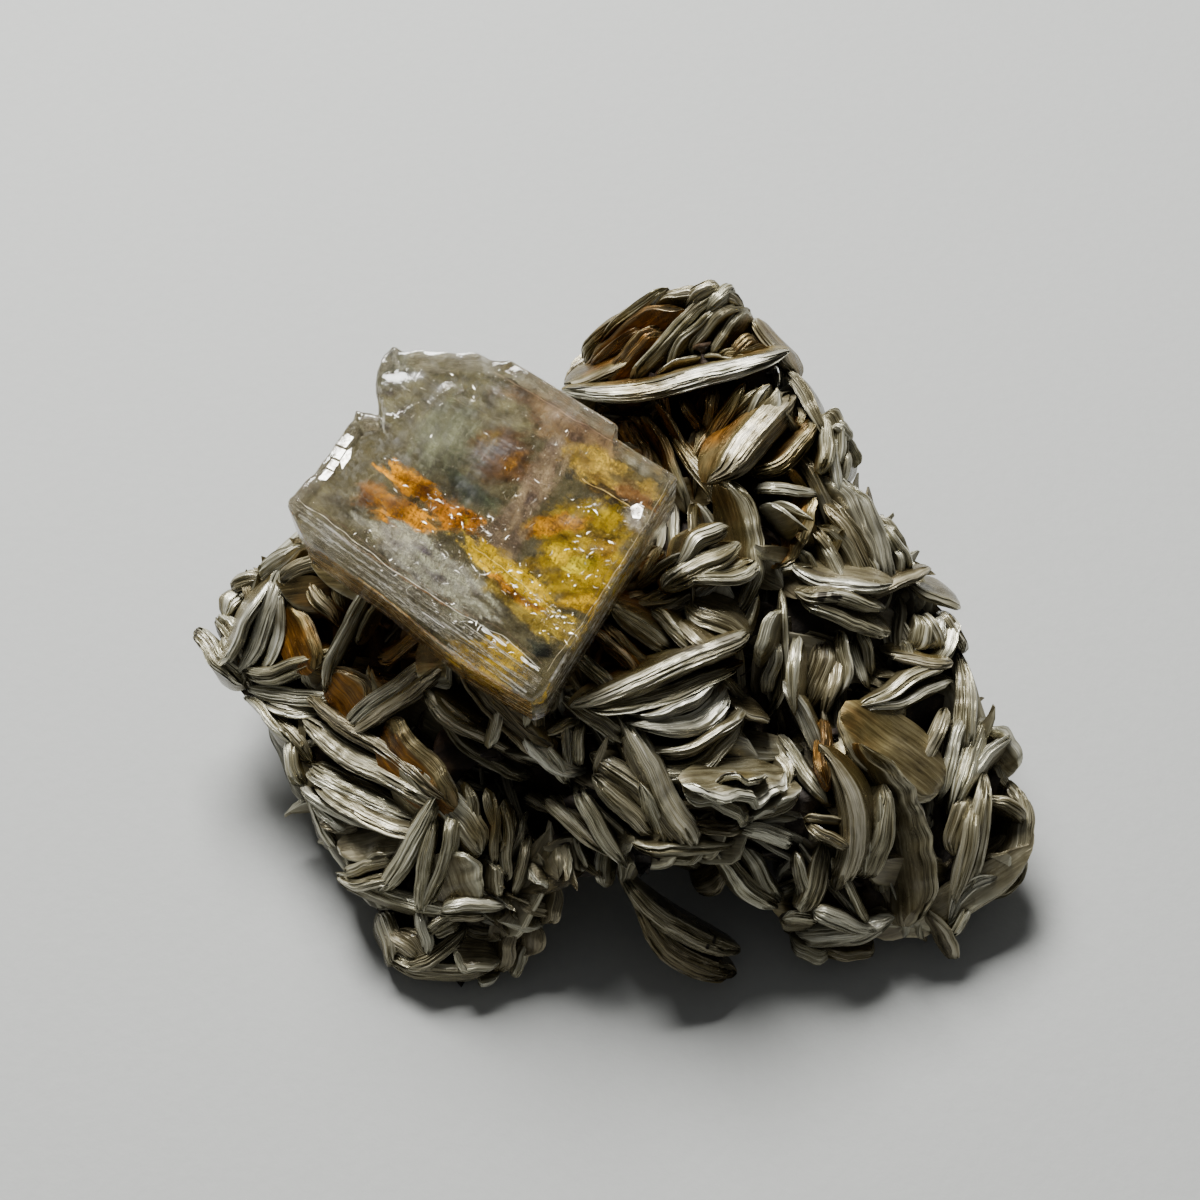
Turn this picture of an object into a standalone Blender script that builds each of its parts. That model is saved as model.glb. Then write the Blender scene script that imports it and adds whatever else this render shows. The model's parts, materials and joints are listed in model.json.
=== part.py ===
"""Clear tabular beryl crystal grown on a cluster of muscovite books.

Metres, +Z up.  The origin is under the middle of the specimen, on the surface that it rests on.
"""
import math

import bmesh
import bpy
from mathutils import Matrix, Vector

MM = 0.001

# Driving dimensions, in millimetres.
GAP = 0.3
CORE_VOXEL = 1.5
CORE_TRIANGLES = 1500
FOOT_PLANE = 0.0

CRYSTAL_CENTRE = (-11.0, -1.0, 31.0)
CRYSTAL_TILT = 15.0
CRYSTAL_THICKNESS = 6.5
CRYSTAL_EDGE = 0.22
# The crystal's outline in the plane of its broad face, from the left corner and clockwise.
CRYSTAL_OUTLINE = (
    (-13.8, 0.2), (-11.4, 3.1), (-8.7, 7.6), (-7.1, 7.3), (-7.5, 10.3), (-7.1, 12.3),
    (-6.1, 13.1), (-5.3, 12.5), (0.5, 12.5), (2.2, 11.8), (2.8, 12.0), (11.1, 6.5),
    (10.9, 5.4), (15.6, 2.2), (5.7, -14.6), (4.7, -15.1), (-0.5, -11.9), (-6.2, -7.0),
    (-12.5, -2.3),
)
# The broad bevel along the lower left edge: two points of its upper line, and its depth.
BEVEL_LINE = ((-13.4, 0.3), (5.7, -14.0))
BEVEL_OUT = 1.7
BEVEL_DEPTH = 1.5

BOOK_STEPS = 7
BOOK_ROUNDNESS = 3.0
BOOK_END_WIDTH = 0.3

# The mass that the books have grown together into: angular lobes, each the hull of its corners.
CORE_LOBES = {
    "left_block": (
        (-33.5, 1.2, 11), (-33, 3.6, 14), (-30, 4.4, 16.4), (-25, 2.6, 20.2), (-16, -7, 18), (-28.4, -8, 9),
        (-23.4, -17.8, 5), (-19, -23, 3), (-16, -20.6, 11), (-13.5, -15.8, 15.4), (-6, -12, 20),
        (-31, 5, 8), (-22, 11, 15), (-20, -14, 0), (-24, -2, 0), (-10, 8, 0), (-6, -16, 0),
    ),
    "left_foot": (
        (-23, -18, 5.5), (-19, -24.4, 3), (-16.3, -25.6, 0), (-9.6, -26.2, 0), (-6, -25, 4.5),
        (-5, -22, 10), (-15, -21, 11), (-9, -16.4, 14.5), (-20, -14, 0), (-6, -14, 0),
    ),
    "saddle": (
        (-24, 3, 18), (-6, 15.5, 23.5), (-5, -11.5, 20), (5, 0, 22), (-14, 8, 21), (-20, 9, 8),
        (-6, 18, 3), (4, 4, 3), (-16, -8, 4),
    ),
    "crystal_seat": (
        (-19.5, 1, 24.5), (-13, -8, 22.6), (-6, -12.4, 21.6), (1.5, -3, 25.5), (3, 3, 26.5), (-3, 8.5, 27.6),
        (-9.4, 12.2, 25.6), (-13.5, 9.4, 25.6), (-17.6, 6.8, 24.4), (-21.6, 5, 22), (-22, 2, 12),
        (-15, -6, 12), (-8, -12, 12), (4, 2, 12), (-6, 13, 12), (-16, 9, 12),
    ),
    "heart": (
        (-14, -8, 16), (-5, -13, 18), (6, -11, 19.5), (14, -6, 19.5), (15, 5, 21.5), (6, 12, 22),
        (-8, 12, 20), (-16, -10, 2), (-2, -13, 1), (12, -14, 2), (20, 2, 2), (14, 14, 2), (-10, 14, 2),
    ),
    "horn": (
        (9, 20.6, 30.6), (3, 20.6, 29.8), (-1.5, 18.6, 26.6), (-4.6, 16, 24), (13.2, 17.4, 27.8),
        (16.4, 12.4, 26.2), (2.5, 13, 25), (11, 10, 25), (10, 25, 22), (0, 24.5, 18), (17, 18, 20),
        (4, 8, 12), (14, 18, 8),
    ),
    "back": (
        (-6, 18, 20), (9, 26.5, 16), (0, 26.5, 12), (15, 23, 14), (20, 15, 16), (-15, 19, 12),
        (-13, 21, 4), (2, 26, 3), (16, 22, 2), (-6, 20, 0), (12, 20, 0), (18, 10, 0), (-10, 4, 0),
    ),
    "right_wall": (
        (16.6, 12, 25.8), (19.8, 8.8, 22.8), (23, 1.4, 18.6), (27.6, -1.4, 15.2), (30, -6.4, 12.6),
        (10, 5, 24.5), (18, -3.5, 18), (8, -3, 22), (25, 9, 12), (27, 5, 5), (21, 12, 2), (22, 6, 0),
        (4, 0, 2),
    ),
    "right_block": (
        (30, -6.4, 12.6), (33, -10.8, 9.4), (33, -16, 7.4), (32, -20.4, 5), (27.4, -23.8, 3), (22.4, -24.2, 2),
        (13.6, -24.2, 3), (11, -21.4, 11.4), (18.5, -20.4, 9.2), (21.8, -13.5, 13.4), (15, -15, 16.8),
        (18, -4.5, 17.5), (30, -4, 6), (28, 3, 3), (14, -19, 0), (26, -19, 0), (28, -6, 0), (10, -4, 0),
    ),
    "front_rim": (
        (10.5, -21.8, 11.8), (6.5, -22.6, 12.4), (0, -22.6, 13.2), (-4.5, -22.4, 11), (-1, -18.2, 16.6),
        (6, -16, 18.2), (8, -6, 22), (-5, -12, 20), (0, -16, 5), (8, -16, 5), (-4, -13, 2), (10, -12, 2),
        (13, -16, 15),
    ),
}

# Books that stand out of the mass.  Each has the two ends of its exposed rim, the way that its
# sheets point out of the mass, its depth, its thickness and how far its sheets are bowed.
BOOKS = {
    "crest": ((-4.0, 13.0, 25.5), (13.5, 13.8, 28.7), (0.0, -0.5, 0.85), 5.0, 1.3, -0.6),
    "horn_left": ((-3.4, 17.4, 25.4), (0.6, 20.0, 28.8), (-0.5, 0.2, 0.8), 5.0, 2.0, 0.3),
    "horn_top": ((3.6, 21.2, 31.2), (10.2, 20.8, 31.6), (0.1, 0.3, 0.9), 6.0, 2.2, 0.4),
    "ridge_front": ((8.5, 4.0, 26.0), (14.0, 11.0, 27.3), (-0.1, -0.4, 0.9), 5.0, 1.8, 0.8),
    "ridge_behind": ((12.5, 3.5, 25.2), (17.0, 9.5, 26.2), (0.1, -0.3, 0.9), 5.0, 1.8, 0.6),
    "side_upper": ((19.5, 9.5, 23.5), (22.8, 1.0, 19.8), (0.7, -0.1, 0.7), 6.0, 2.2, 0.5),
    "upright": ((11.5, 1.5, 25.0), (12.0, -6.0, 22.8), (0.2, -0.4, 0.9), 5.0, 1.8, 0.5),
    "fan": ((4.5, -3.8, 25.2), (9.5, 1.2, 26.0), (0.0, -0.5, 0.85), 4.5, 3.2, 0.4),
    "under_fan": ((1.2, -7.2, 23.0), (9.8, -6.2, 23.6), (0.0, -0.6, 0.8), 3.4, 1.1, -0.7),
    "lens": ((-2.2, -13.8, 21.8), (10.8, -8.8, 22.6), (0.0, -0.6, 0.8), 5.0, 2.3, 0.9),
    "crescent": ((0.0, -16.3, 20.0), (10.0, -12.6, 21.0), (0.0, -0.75, 0.65), 4.5, 1.8, 1.0),
    "bright_plate": ((3.8, -20.2, 18.0), (13.2, -18.8, 18.2), (0.0, -0.95, 0.3), 5.0, 1.6, 0.4),
    "twin_upper": ((12.8, -2.0, 22.6), (22.8, -2.6, 19.4), (0.2, -0.6, 0.8), 3.6, 1.0, 0.3),
    "twin_lower": ((13.6, -4.4, 21.8), (22.8, -5.0, 18.6), (0.1, -0.7, 0.75), 4.5, 1.5, 0.4),
    "amber_plate": ((15.8, -9.2, 20.0), (23.2, -14.8, 16.2), (0.25, -0.6, 0.75), 4.5, 1.6, 0.8),
    "long_curve": ((15.6, -15.0, 18.2), (25.8, -22.0, 9.6), (-0.05, -0.8, 0.6), 4.5, 1.7, 1.6),
    "right_step": ((27.0, -3.0, 16.2), (25.5, -13.5, 14.4), (0.5, -0.2, 0.85), 5.0, 1.6, 0.5),
    "right_fan": ((30.6, -8.0, 12.8), (28.2, -19.0, 10.0), (0.6, -0.35, 0.75), 5.0, 1.8, 0.6),
    "right_edge": ((33.4, -12.0, 9.2), (31.8, -21.0, 5.2), (0.85, -0.3, 0.4), 5.0, 1.8, 0.4),
    "right_low": ((13.0, -24.3, 8.0), (22.8, -24.0, 5.6), (0.0, -0.9, 0.4), 4.5, 1.5, 0.5),
    "front_pillar": ((16.5, -18.8, 14.2), (18.4, -22.4, 9.8), (-0.1, -0.75, 0.65), 4.0, 1.6, 0.2),
    "dark_pillar": ((13.8, -8.4, 21.6), (13.2, -13.4, 19.8), (0.0, -0.4, 0.9), 3.2, 1.1, -0.3),
    "left_long": ((-26.6, -6.9, 12.6), (-13.6, -17.6, 15.4), (-0.3, -0.6, 0.75), 4.5, 1.5, 0.5),
    "left_under": ((-26.2, -12.6, 9.4), (-17.2, -18.6, 12.4), (-0.4, -0.75, 0.5), 4.5, 1.7, 0.4),
    "left_plate": ((-14.2, -12.2, 18.0), (-8.6, -19.0, 14.2), (-0.1, -0.6, 0.8), 4.5, 2.0, 0.6),
    "left_upright": ((-13.0, -19.6, 13.6), (-14.0, -25.0, 7.0), (-0.05, -0.8, 0.6), 4.0, 1.5, 0.5),
    "shoulder_fan": ((-34.0, 1.0, 13.8), (-29.6, -5.0, 13.8), (-0.5, -0.35, 0.8), 5.0, 3.0, 0.4),
    "shoulder_bar": ((-27.0, -4.6, 15.6), (-19.6, -5.6, 17.8), (-0.2, -0.7, 0.7), 4.0, 1.5, 0.3),
    "centre_fan": ((-13.6, -10.4, 20.2), (-4.4, -16.2, 18.6), (-0.1, -0.6, 0.8), 4.5, 2.4, 0.7),
    "centre_slant": ((1.6, -17.6, 18.8), (5.0, -22.4, 13.6), (-0.1, -0.7, 0.7), 4.5, 1.2, 0.3),
    "lower_slant": ((-4.8, -18.2, 16.4), (-0.2, -23.2, 12.6), (-0.1, -0.75, 0.65), 4.5, 2.0, 0.4),
    "hanging": ((-1.0, -22.4, 9.8), (9.6, -26.8, 4.4), (0.0, -0.75, 0.5), 5.0, 1.6, 0.9),
    "foot_long": ((-23.6, -18.6, 7.4), (-16.8, -22.2, 8.6), (-0.25, -0.8, 0.5), 4.0, 1.6, 0.4),
    "foot_left": ((-19.6, -25.0, 3.6), (-9.0, -26.8, 3.0), (-0.1, -0.9, 0.3), 4.5, 2.0, 0.6),
    "back_crown": ((-4.5, 22.5, 21.0), (7.0, 26.2, 19.0), (0.0, 0.85, 0.5), 5.0, 2.0, 0.6),
    "back_left": ((-17.5, 17.0, 13.5), (-8.0, 21.2, 10.0), (-0.4, 0.8, 0.4), 5.0, 2.2, 0.6),
    "back_middle": ((-5.0, 25.2, 11.5), (8.0, 27.4, 10.0), (0.0, 1.0, 0.1), 5.0, 1.8, 0.7),
    "back_right": ((11.0, 24.6, 13.0), (18.6, 18.0, 15.5), (0.6, 0.8, 0.2), 5.0, 2.0, 0.6),
    "back_low": ((-10.0, 22.6, 4.0), (1.0, 26.2, 4.4), (-0.2, 0.95, -0.1), 4.5, 2.0, 0.5),
    "back_heel": ((8.0, 25.0, 4.2), (17.0, 20.0, 4.6), (0.5, 0.85, 0.0), 4.5, 2.0, 0.4),
    "left_back": ((-31.5, 6.6, 11.0), (-24.0, 11.6, 13.5), (-0.6, 0.75, 0.3), 4.5, 2.0, 0.5),
    "left_heel": ((-27.8, 2.4, 4.0), (-21.0, 9.6, 5.0), (-0.7, 0.7, 0.0), 4.5, 2.0, 0.5),
    "right_back": ((23.8, 9.4, 13.0), (27.8, 3.0, 8.0), (0.85, 0.45, 0.2), 5.0, 2.0, 0.5),
    "right_heel": ((23.2, 8.0, 3.4), (29.0, 0.6, 3.6), (0.8, 0.6, 0.0), 4.5, 2.0, 0.4),
    "left_side": ((-29.6, -5.0, 7.0), (-25.4, -13.0, 4.6), (-0.9, -0.35, 0.2), 4.0, 1.8, 0.5),
}

FINISHES = {
    # name: base colour, roughness, metallic
    "beryl": ((0.62, 0.56, 0.42), 0.06, 0.0),
    "mica_mass": ((0.20, 0.17, 0.12), 0.55, 0.0),
    "mica_book": ((0.42, 0.41, 0.35), 0.35, 0.0),
}


def clear_scene():
    """Remove whatever the file holds."""
    for item in list(bpy.data.objects):
        bpy.data.objects.remove(item, do_unlink=True)


def collection(name):
    """A new collection under the scene's own."""
    made = bpy.data.collections.new(name)
    bpy.context.scene.collection.children.link(made)
    return made


def finish(name):
    """The material of one of the finishes."""
    colour, roughness, metallic = FINISHES[name]
    material = bpy.data.materials.get(name) or bpy.data.materials.new(name)
    material.use_nodes = True
    shader = material.node_tree.nodes["Principled BSDF"]
    shader.inputs["Base Color"].default_value = (*colour, 1.0)
    shader.inputs["Roughness"].default_value = roughness
    shader.inputs["Metallic"].default_value = metallic
    return material


def place(name, mesh, group, material=None):
    """An object that holds a mesh, in a collection."""
    made = bpy.data.objects.new(name, mesh)
    if material:
        made.data.materials.clear()
        made.data.materials.append(finish(material))
    group.objects.link(made)
    return made


def evaluated_mesh(source):
    """A copy of an object's mesh with its modifiers applied."""
    graph = bpy.context.evaluated_depsgraph_get()
    graph.update()
    return bpy.data.meshes.new_from_object(source.evaluated_get(graph), depsgraph=graph)


def keep_largest_island(mesh):
    """Drop the crumbs that the cuts have parted from the main body."""
    bm = bmesh.new()
    bm.from_mesh(mesh)
    left = set(bm.verts)
    islands = []
    while left:
        queue = [left.pop()]
        island = set(queue)
        while queue:
            for edge in queue.pop().link_edges:
                for vert in edge.verts:
                    if vert in left:
                        left.discard(vert)
                        island.add(vert)
                        queue.append(vert)
        islands.append(island)
    largest = max(islands, key=len)
    crumbs = [vert for vert in bm.verts if vert not in largest]
    bmesh.ops.delete(bm, geom=crumbs, context="VERTS")
    bm.to_mesh(mesh)
    bm.free()


def crystal_body(name, group, grow=0.0, material=None):
    """The tabular crystal, thicker and wider by grow on every side for the pocket's cutter."""
    half = CRYSTAL_THICKNESS / 2
    outline = bpy.data.curves.new(name + "_outline", "CURVE")
    outline.dimensions = "2D"
    outline.fill_mode = "BOTH"
    outline.extrude = (half + grow) * MM
    outline.offset = grow * MM
    spline = outline.splines.new("POLY")
    spline.points.add(len(CRYSTAL_OUTLINE) - 1)
    for point, (u, v) in zip(spline.points, CRYSTAL_OUTLINE):
        point.co = (u * MM, v * MM, 0.0, 1.0)
    spline.use_cyclic_u = True
    source = place(name + "_outline", outline, group)
    mesh = evaluated_mesh(source)
    bpy.data.objects.remove(source, do_unlink=True)

    bm = bmesh.new()
    bm.from_mesh(mesh)
    bmesh.ops.remove_doubles(bm, verts=bm.verts, dist=0.00001)
    start, end = (Vector((u, v, half)) for u, v in BEVEL_LINE)
    along = (end - start).normalized()
    outward = along.cross(Vector((0, 0, 1)))
    down = (outward * BEVEL_OUT - Vector((0, 0, BEVEL_DEPTH))).normalized()
    slope = along.cross(down)
    if slope.z < 0:
        slope.negate()
    cut = bmesh.ops.bisect_plane(
        bm, geom=bm.verts[:] + bm.edges[:] + bm.faces[:], plane_co=(start + slope * grow) * MM,
        plane_no=slope, clear_outer=True, dist=0.000001,
    )
    rim = [item for item in cut["geom_cut"] if isinstance(item, bmesh.types.BMEdge)]
    bmesh.ops.edgenet_fill(bm, edges=rim)
    bmesh.ops.recalc_face_normals(bm, faces=bm.faces)
    turn = Matrix.Rotation(math.radians(CRYSTAL_TILT), 4, "X")
    normal = turn @ Vector((0, 0, 1))
    centre = Vector(CRYSTAL_CENTRE) - normal * half
    bm.transform(Matrix.Translation(centre * MM) @ turn)
    bm.to_mesh(mesh)
    bm.free()
    return place(name, mesh, group, material)


def crystal(group):
    """The beryl crystal with its edges broken by a small bevel."""
    made = crystal_body("beryl_crystal", group, material="beryl")
    bevel = made.modifiers.new("edges", "BEVEL")
    bevel.width = CRYSTAL_EDGE * MM
    bevel.segments = 1
    bevel.angle_limit = math.radians(28)
    bevel.limit_method = "ANGLE"
    return made


def book_body(name, group, entry, grow=0.0, material=None):
    """One mica book: a bowed tabular stack with rounded ends."""
    first, last, out, depth, thickness, bow = entry
    first, last, out = Vector(first), Vector(last), Vector(out)
    along = (last - first).normalized()
    outward = (out - along * out.dot(along)).normalized()
    across = outward.cross(along)
    length = (last - first).length + 2 * grow
    tall = depth + 2 * grow
    middle = (first + last) / 2 - outward * (depth / 2)

    bm = bmesh.new()
    bmesh.ops.create_grid(bm, x_segments=BOOK_STEPS, y_segments=1, size=0.5)
    for vert in bm.verts:
        x = vert.co.x
        fullness = 1 - abs(2 * x) ** BOOK_ROUNDNESS
        width = BOOK_END_WIDTH + (1 - BOOK_END_WIDTH) * math.sqrt(max(fullness, 0.0))
        vert.co = Vector((x * length, vert.co.y * tall * width, bow * (1 - 4 * x * x) - bow / 2))
    frame = Matrix((along, outward, across)).transposed().to_4x4()
    bm.transform(Matrix.Scale(MM, 4) @ Matrix.Translation(middle) @ frame)
    mesh = bpy.data.meshes.new(name)
    bm.to_mesh(mesh)
    bm.free()
    made = place(name, mesh, group, material)
    stack = made.modifiers.new("stack", "SOLIDIFY")
    stack.thickness = (thickness + 2 * grow) * MM
    stack.offset = 0.0
    stack.use_even_offset = True
    return made


def core(group, cutter_group):
    """The grown-together mass: lobes joined, cut flat below, with a pocket for each neighbour."""
    bm = bmesh.new()
    for corners in CORE_LOBES.values():
        verts = [bm.verts.new(Vector(corner) * MM) for corner in corners]
        hull = bmesh.ops.convex_hull(bm, input=verts)
        inside = [item for item in hull["geom_interior"] if isinstance(item, bmesh.types.BMVert)]
        bmesh.ops.delete(bm, geom=inside, context="VERTS")
    mesh = bpy.data.meshes.new("muscovite_core")
    bm.to_mesh(mesh)
    bm.free()
    made = place("muscovite_core", mesh, group, "mica_mass")
    join = made.modifiers.new("join", "REMESH")
    join.mode = "VOXEL"
    join.voxel_size = CORE_VOXEL * MM
    joined = evaluated_mesh(made)
    made.modifiers.clear()
    made.data = joined
    thin = made.modifiers.new("thin", "DECIMATE")
    thin.ratio = min(1.0, CORE_TRIANGLES / (2 * len(joined.polygons)))
    thinned = evaluated_mesh(made)
    made.modifiers.clear()

    bm = bmesh.new()
    bm.from_mesh(thinned)
    everything = bm.verts[:] + bm.edges[:] + bm.faces[:]
    cut = bmesh.ops.bisect_plane(
        bm, geom=everything, plane_co=(0, 0, FOOT_PLANE * MM), plane_no=(0, 0, -1), clear_outer=True,
        dist=0.000001,
    )
    rim = [item for item in cut["geom_cut"] if isinstance(item, bmesh.types.BMEdge)]
    bmesh.ops.edgenet_fill(bm, edges=rim)
    bmesh.ops.recalc_face_normals(bm, faces=bm.faces)
    bm.to_mesh(thinned)
    bm.free()
    made.data = thinned

    pockets = made.modifiers.new("pockets", "BOOLEAN")
    pockets.operation = "DIFFERENCE"
    pockets.solver = "EXACT"
    pockets.operand_type = "COLLECTION"
    pockets.collection = cutter_group
    cut_mesh = evaluated_mesh(made)
    made.modifiers.clear()
    keep_largest_island(cut_mesh)
    made.data = cut_mesh
    made.data.materials.clear()
    made.data.materials.append(finish("mica_mass"))
    return made


def main():
    """Build the specimen."""
    clear_scene()
    specimen = collection("beryl_on_muscovite")
    cutters = collection("cutters")
    crystal(specimen)
    crystal_body("cut_crystal", cutters, grow=GAP)
    for name, entry in BOOKS.items():
        book_body("book_" + name, specimen, entry, material="mica_book")
        book_body("cut_" + name, cutters, entry, grow=GAP)
    for cutter in cutters.objects:
        cutter.hide_render = True
        cutter.display_type = "WIRE"
    core(specimen, cutters)


main()
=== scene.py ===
import json
import math

import bmesh
import bpy
import numpy as np
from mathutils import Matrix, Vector, noise
from mathutils.bvhtree import BVHTree

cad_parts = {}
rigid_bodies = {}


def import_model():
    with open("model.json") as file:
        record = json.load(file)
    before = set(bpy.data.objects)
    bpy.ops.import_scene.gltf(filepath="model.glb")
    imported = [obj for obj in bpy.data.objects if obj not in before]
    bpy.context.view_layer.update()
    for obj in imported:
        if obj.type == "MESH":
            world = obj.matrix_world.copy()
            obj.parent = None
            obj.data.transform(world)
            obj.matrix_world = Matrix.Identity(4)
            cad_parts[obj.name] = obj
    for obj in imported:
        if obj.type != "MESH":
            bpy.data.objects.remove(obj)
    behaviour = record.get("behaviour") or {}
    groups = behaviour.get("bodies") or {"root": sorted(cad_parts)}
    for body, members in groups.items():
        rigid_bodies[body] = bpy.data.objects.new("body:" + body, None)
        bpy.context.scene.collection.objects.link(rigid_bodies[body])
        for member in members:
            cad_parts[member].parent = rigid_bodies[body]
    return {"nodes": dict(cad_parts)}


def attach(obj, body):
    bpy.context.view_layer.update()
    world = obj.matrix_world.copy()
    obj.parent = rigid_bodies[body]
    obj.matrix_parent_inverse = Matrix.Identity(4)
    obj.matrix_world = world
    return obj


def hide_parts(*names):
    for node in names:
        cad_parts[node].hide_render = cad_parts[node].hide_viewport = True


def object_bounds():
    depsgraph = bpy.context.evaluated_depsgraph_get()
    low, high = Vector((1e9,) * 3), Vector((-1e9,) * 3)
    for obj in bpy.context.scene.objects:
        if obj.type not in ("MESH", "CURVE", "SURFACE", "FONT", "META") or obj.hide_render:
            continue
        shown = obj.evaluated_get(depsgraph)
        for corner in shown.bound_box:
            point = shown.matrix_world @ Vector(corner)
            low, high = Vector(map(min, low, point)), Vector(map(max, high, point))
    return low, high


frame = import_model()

noise.seed_set(3)        # every run gives the same result
mm = 0.001
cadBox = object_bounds()
cadNodes = frame["nodes"]
sizeLow = np.array(cadBox[0]) / mm - (1.5, 1.3, 0.0)     # no book reaches past these
sizeHigh = np.array(cadBox[1]) / mm + (1.5, 1.3, 0.7)
massCentre = np.array((0.0, -2.0, 8.0))  # books on every side point away from here, mm
pixelsPerMm = 12.3                       # of the camera's frame, at the specimen

cameraSetup = {
    "target": (-1.3, 2.1, 14.0),  # mm
    "distance": 183.0,
    "elevation": 55.0,
    "fieldOfView": 30.0,
    "frameSize": 1200,
    "sensor": 36.0,
    "clip": (0.01, 10.0),         # metres
}
lampSetup = {"place": (-90.0, 260.0, 400.0), "aim": (0.0, 0.0, 10.0), "side": 220.0, "power": 8.0}    # mm, W


def makeCamera(setup):
    data = bpy.data.cameras.new("camera")
    data.sensor_width = setup["sensor"]
    data.lens = setup["sensor"] / 2 / math.tan(math.radians(setup["fieldOfView"] / 2))
    data.clip_start, data.clip_end = setup["clip"]
    camera = bpy.data.objects.new("camera", data)
    bpy.context.scene.collection.objects.link(camera)
    lift = math.radians(setup["elevation"])
    back = Vector((0.0, -math.cos(lift), math.sin(lift)))
    camera.location = (Vector(setup["target"]) + back * setup["distance"]) * mm
    camera.rotation_euler = (math.radians(90 - setup["elevation"]), 0.0, 0.0)
    bpy.context.scene.camera = camera
    return camera


camera = makeCamera(cameraSetup)
eye = np.array(camera.location) / mm
elevation = math.radians(cameraSetup["elevation"])
towardsViewer = np.array((0.0, -math.cos(elevation), math.sin(elevation)))
viewUp = np.cross(towardsViewer, (1.0, 0.0, 0.0))


def pixelRay(px, py):
    # direction from the eye through a pixel of the frame
    half = cameraSetup["frameSize"] / 2
    wide = math.tan(math.radians(cameraSetup["fieldOfView"] / 2))
    ray = (px - half) / half * wide * np.array((1.0, 0.0, 0.0)) + (half - py) / half * wide * viewUp
    ray = ray - towardsViewer
    return ray / np.linalg.norm(ray)


class Wire:
    # a socket that sums like a number
    def __init__(self, look, socket):
        self.look = look
        self.socket = socket

    def maths(self, operation, *values):
        return self.look.node("ShaderNodeMath", {"operation": operation}, dict(enumerate(values)))

    def __add__(self, other):
        return self.maths("ADD", self, other)

    def __radd__(self, other):
        return self.maths("ADD", other, self)

    def __sub__(self, other):
        return self.maths("SUBTRACT", self, other)

    def __rsub__(self, other):
        return self.maths("SUBTRACT", other, self)

    def __mul__(self, other):
        return self.maths("MULTIPLY", self, other)

    def __rmul__(self, other):
        return self.maths("MULTIPLY", other, self)


class Look:
    # a material that is being wired up
    def __init__(self, name):
        self.material = bpy.data.materials.new(name)
        self.material.use_nodes = True
        self.tree = self.material.node_tree
        self.tree.nodes.clear()

    def node(self, kind, settings=None, inputs=None, output=0):
        made = self.tree.nodes.new(kind)
        for key, value in (settings or {}).items():
            if key == "stops":
                ramp = made.color_ramp
                while len(ramp.elements) > 1:
                    ramp.elements.remove(ramp.elements[0])
                ramp.elements[0].position = value[0][0]
                ramp.elements[0].color = (*value[0][1], 1.0)
                for position, colour in value[1:]:
                    ramp.elements.new(position).color = (*colour, 1.0)
            else:
                setattr(made, key, value)
        for key, value in (inputs or {}).items():
            socket = made.inputs[key]
            if isinstance(value, Wire):
                self.tree.links.new(value.socket, socket)
            elif value is not None:
                socket.default_value = value
        return Wire(self, made.outputs[output])

    def attribute(self, name, output="Vector"):
        return self.node("ShaderNodeAttribute", {"attribute_name": name}, output=output)

    def objectPlace(self):
        return self.node("ShaderNodeTexCoord", output="Object")

    def parts(self, vector):
        split = self.node("ShaderNodeSeparateXYZ", None, {0: vector})
        outputs = split.socket.node.outputs
        return [Wire(self, outputs[i]) for i in range(3)]

    def noiseAt(self, vector, scale, detail=3.0, rough=0.55, output="Fac"):
        return self.node("ShaderNodeTexNoise", {"noise_dimensions": "3D"},
                         {"Vector": vector, "Scale": scale, "Detail": detail, "Roughness": rough}, output)

    def turned(self, vector, angle, factors):
        # coordinates along and across a direction, stretched
        x, y, z = self.parts(vector)
        c, s = math.cos(math.radians(angle)), math.sin(math.radians(angle))
        return self.node("ShaderNodeCombineXYZ", None, {
            0: (x * c + y * s) * factors[0], 1: (y * c - x * s) * factors[1], 2: z})

    def stretch(self, vector, factors):
        return self.node("ShaderNodeVectorMath", {"operation": "MULTIPLY"}, {0: vector, 1: factors})

    def step(self, value, low, high):
        return self.node("ShaderNodeMapRange", {"interpolation_type": "SMOOTHSTEP"},
                         {"Value": value, "From Min": low, "From Max": high})

    def ramp(self, value, stops):
        return self.node("ShaderNodeValToRGB", {"stops": stops}, {"Fac": value})

    def blend(self, factor, first, second, way="MIX"):
        made = self.node("ShaderNodeMix", {"data_type": "RGBA", "blend_type": way}, None, 2)
        node = made.socket.node
        for index, value in ((0, factor), (6, first), (7, second)):
            if isinstance(value, Wire):
                self.tree.links.new(value.socket, node.inputs[index])
            else:
                node.inputs[index].default_value = value if index == 0 else (*value, 1.0)
        return made

    def bump(self, strength, distance, height):
        return self.node("ShaderNodeBump", None, {"Strength": strength, "Distance": distance, "Height": height})

    def covered(self, value, cover):
        # an alpha that stays between nothing and solid
        return self.node("ShaderNodeMath", {"operation": "MULTIPLY", "use_clamp": True}, {0: value, 1: cover})

    def surface(self, inputs):
        return self.node("ShaderNodeBsdfPrincipled", None, inputs)

    def finish(self, surface, volume=None):
        out = self.tree.nodes.new("ShaderNodeOutputMaterial")
        self.tree.links.new(surface.socket, out.inputs["Surface"])
        if volume:
            self.tree.links.new(volume.socket, out.inputs["Volume"])
        return self.material


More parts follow.
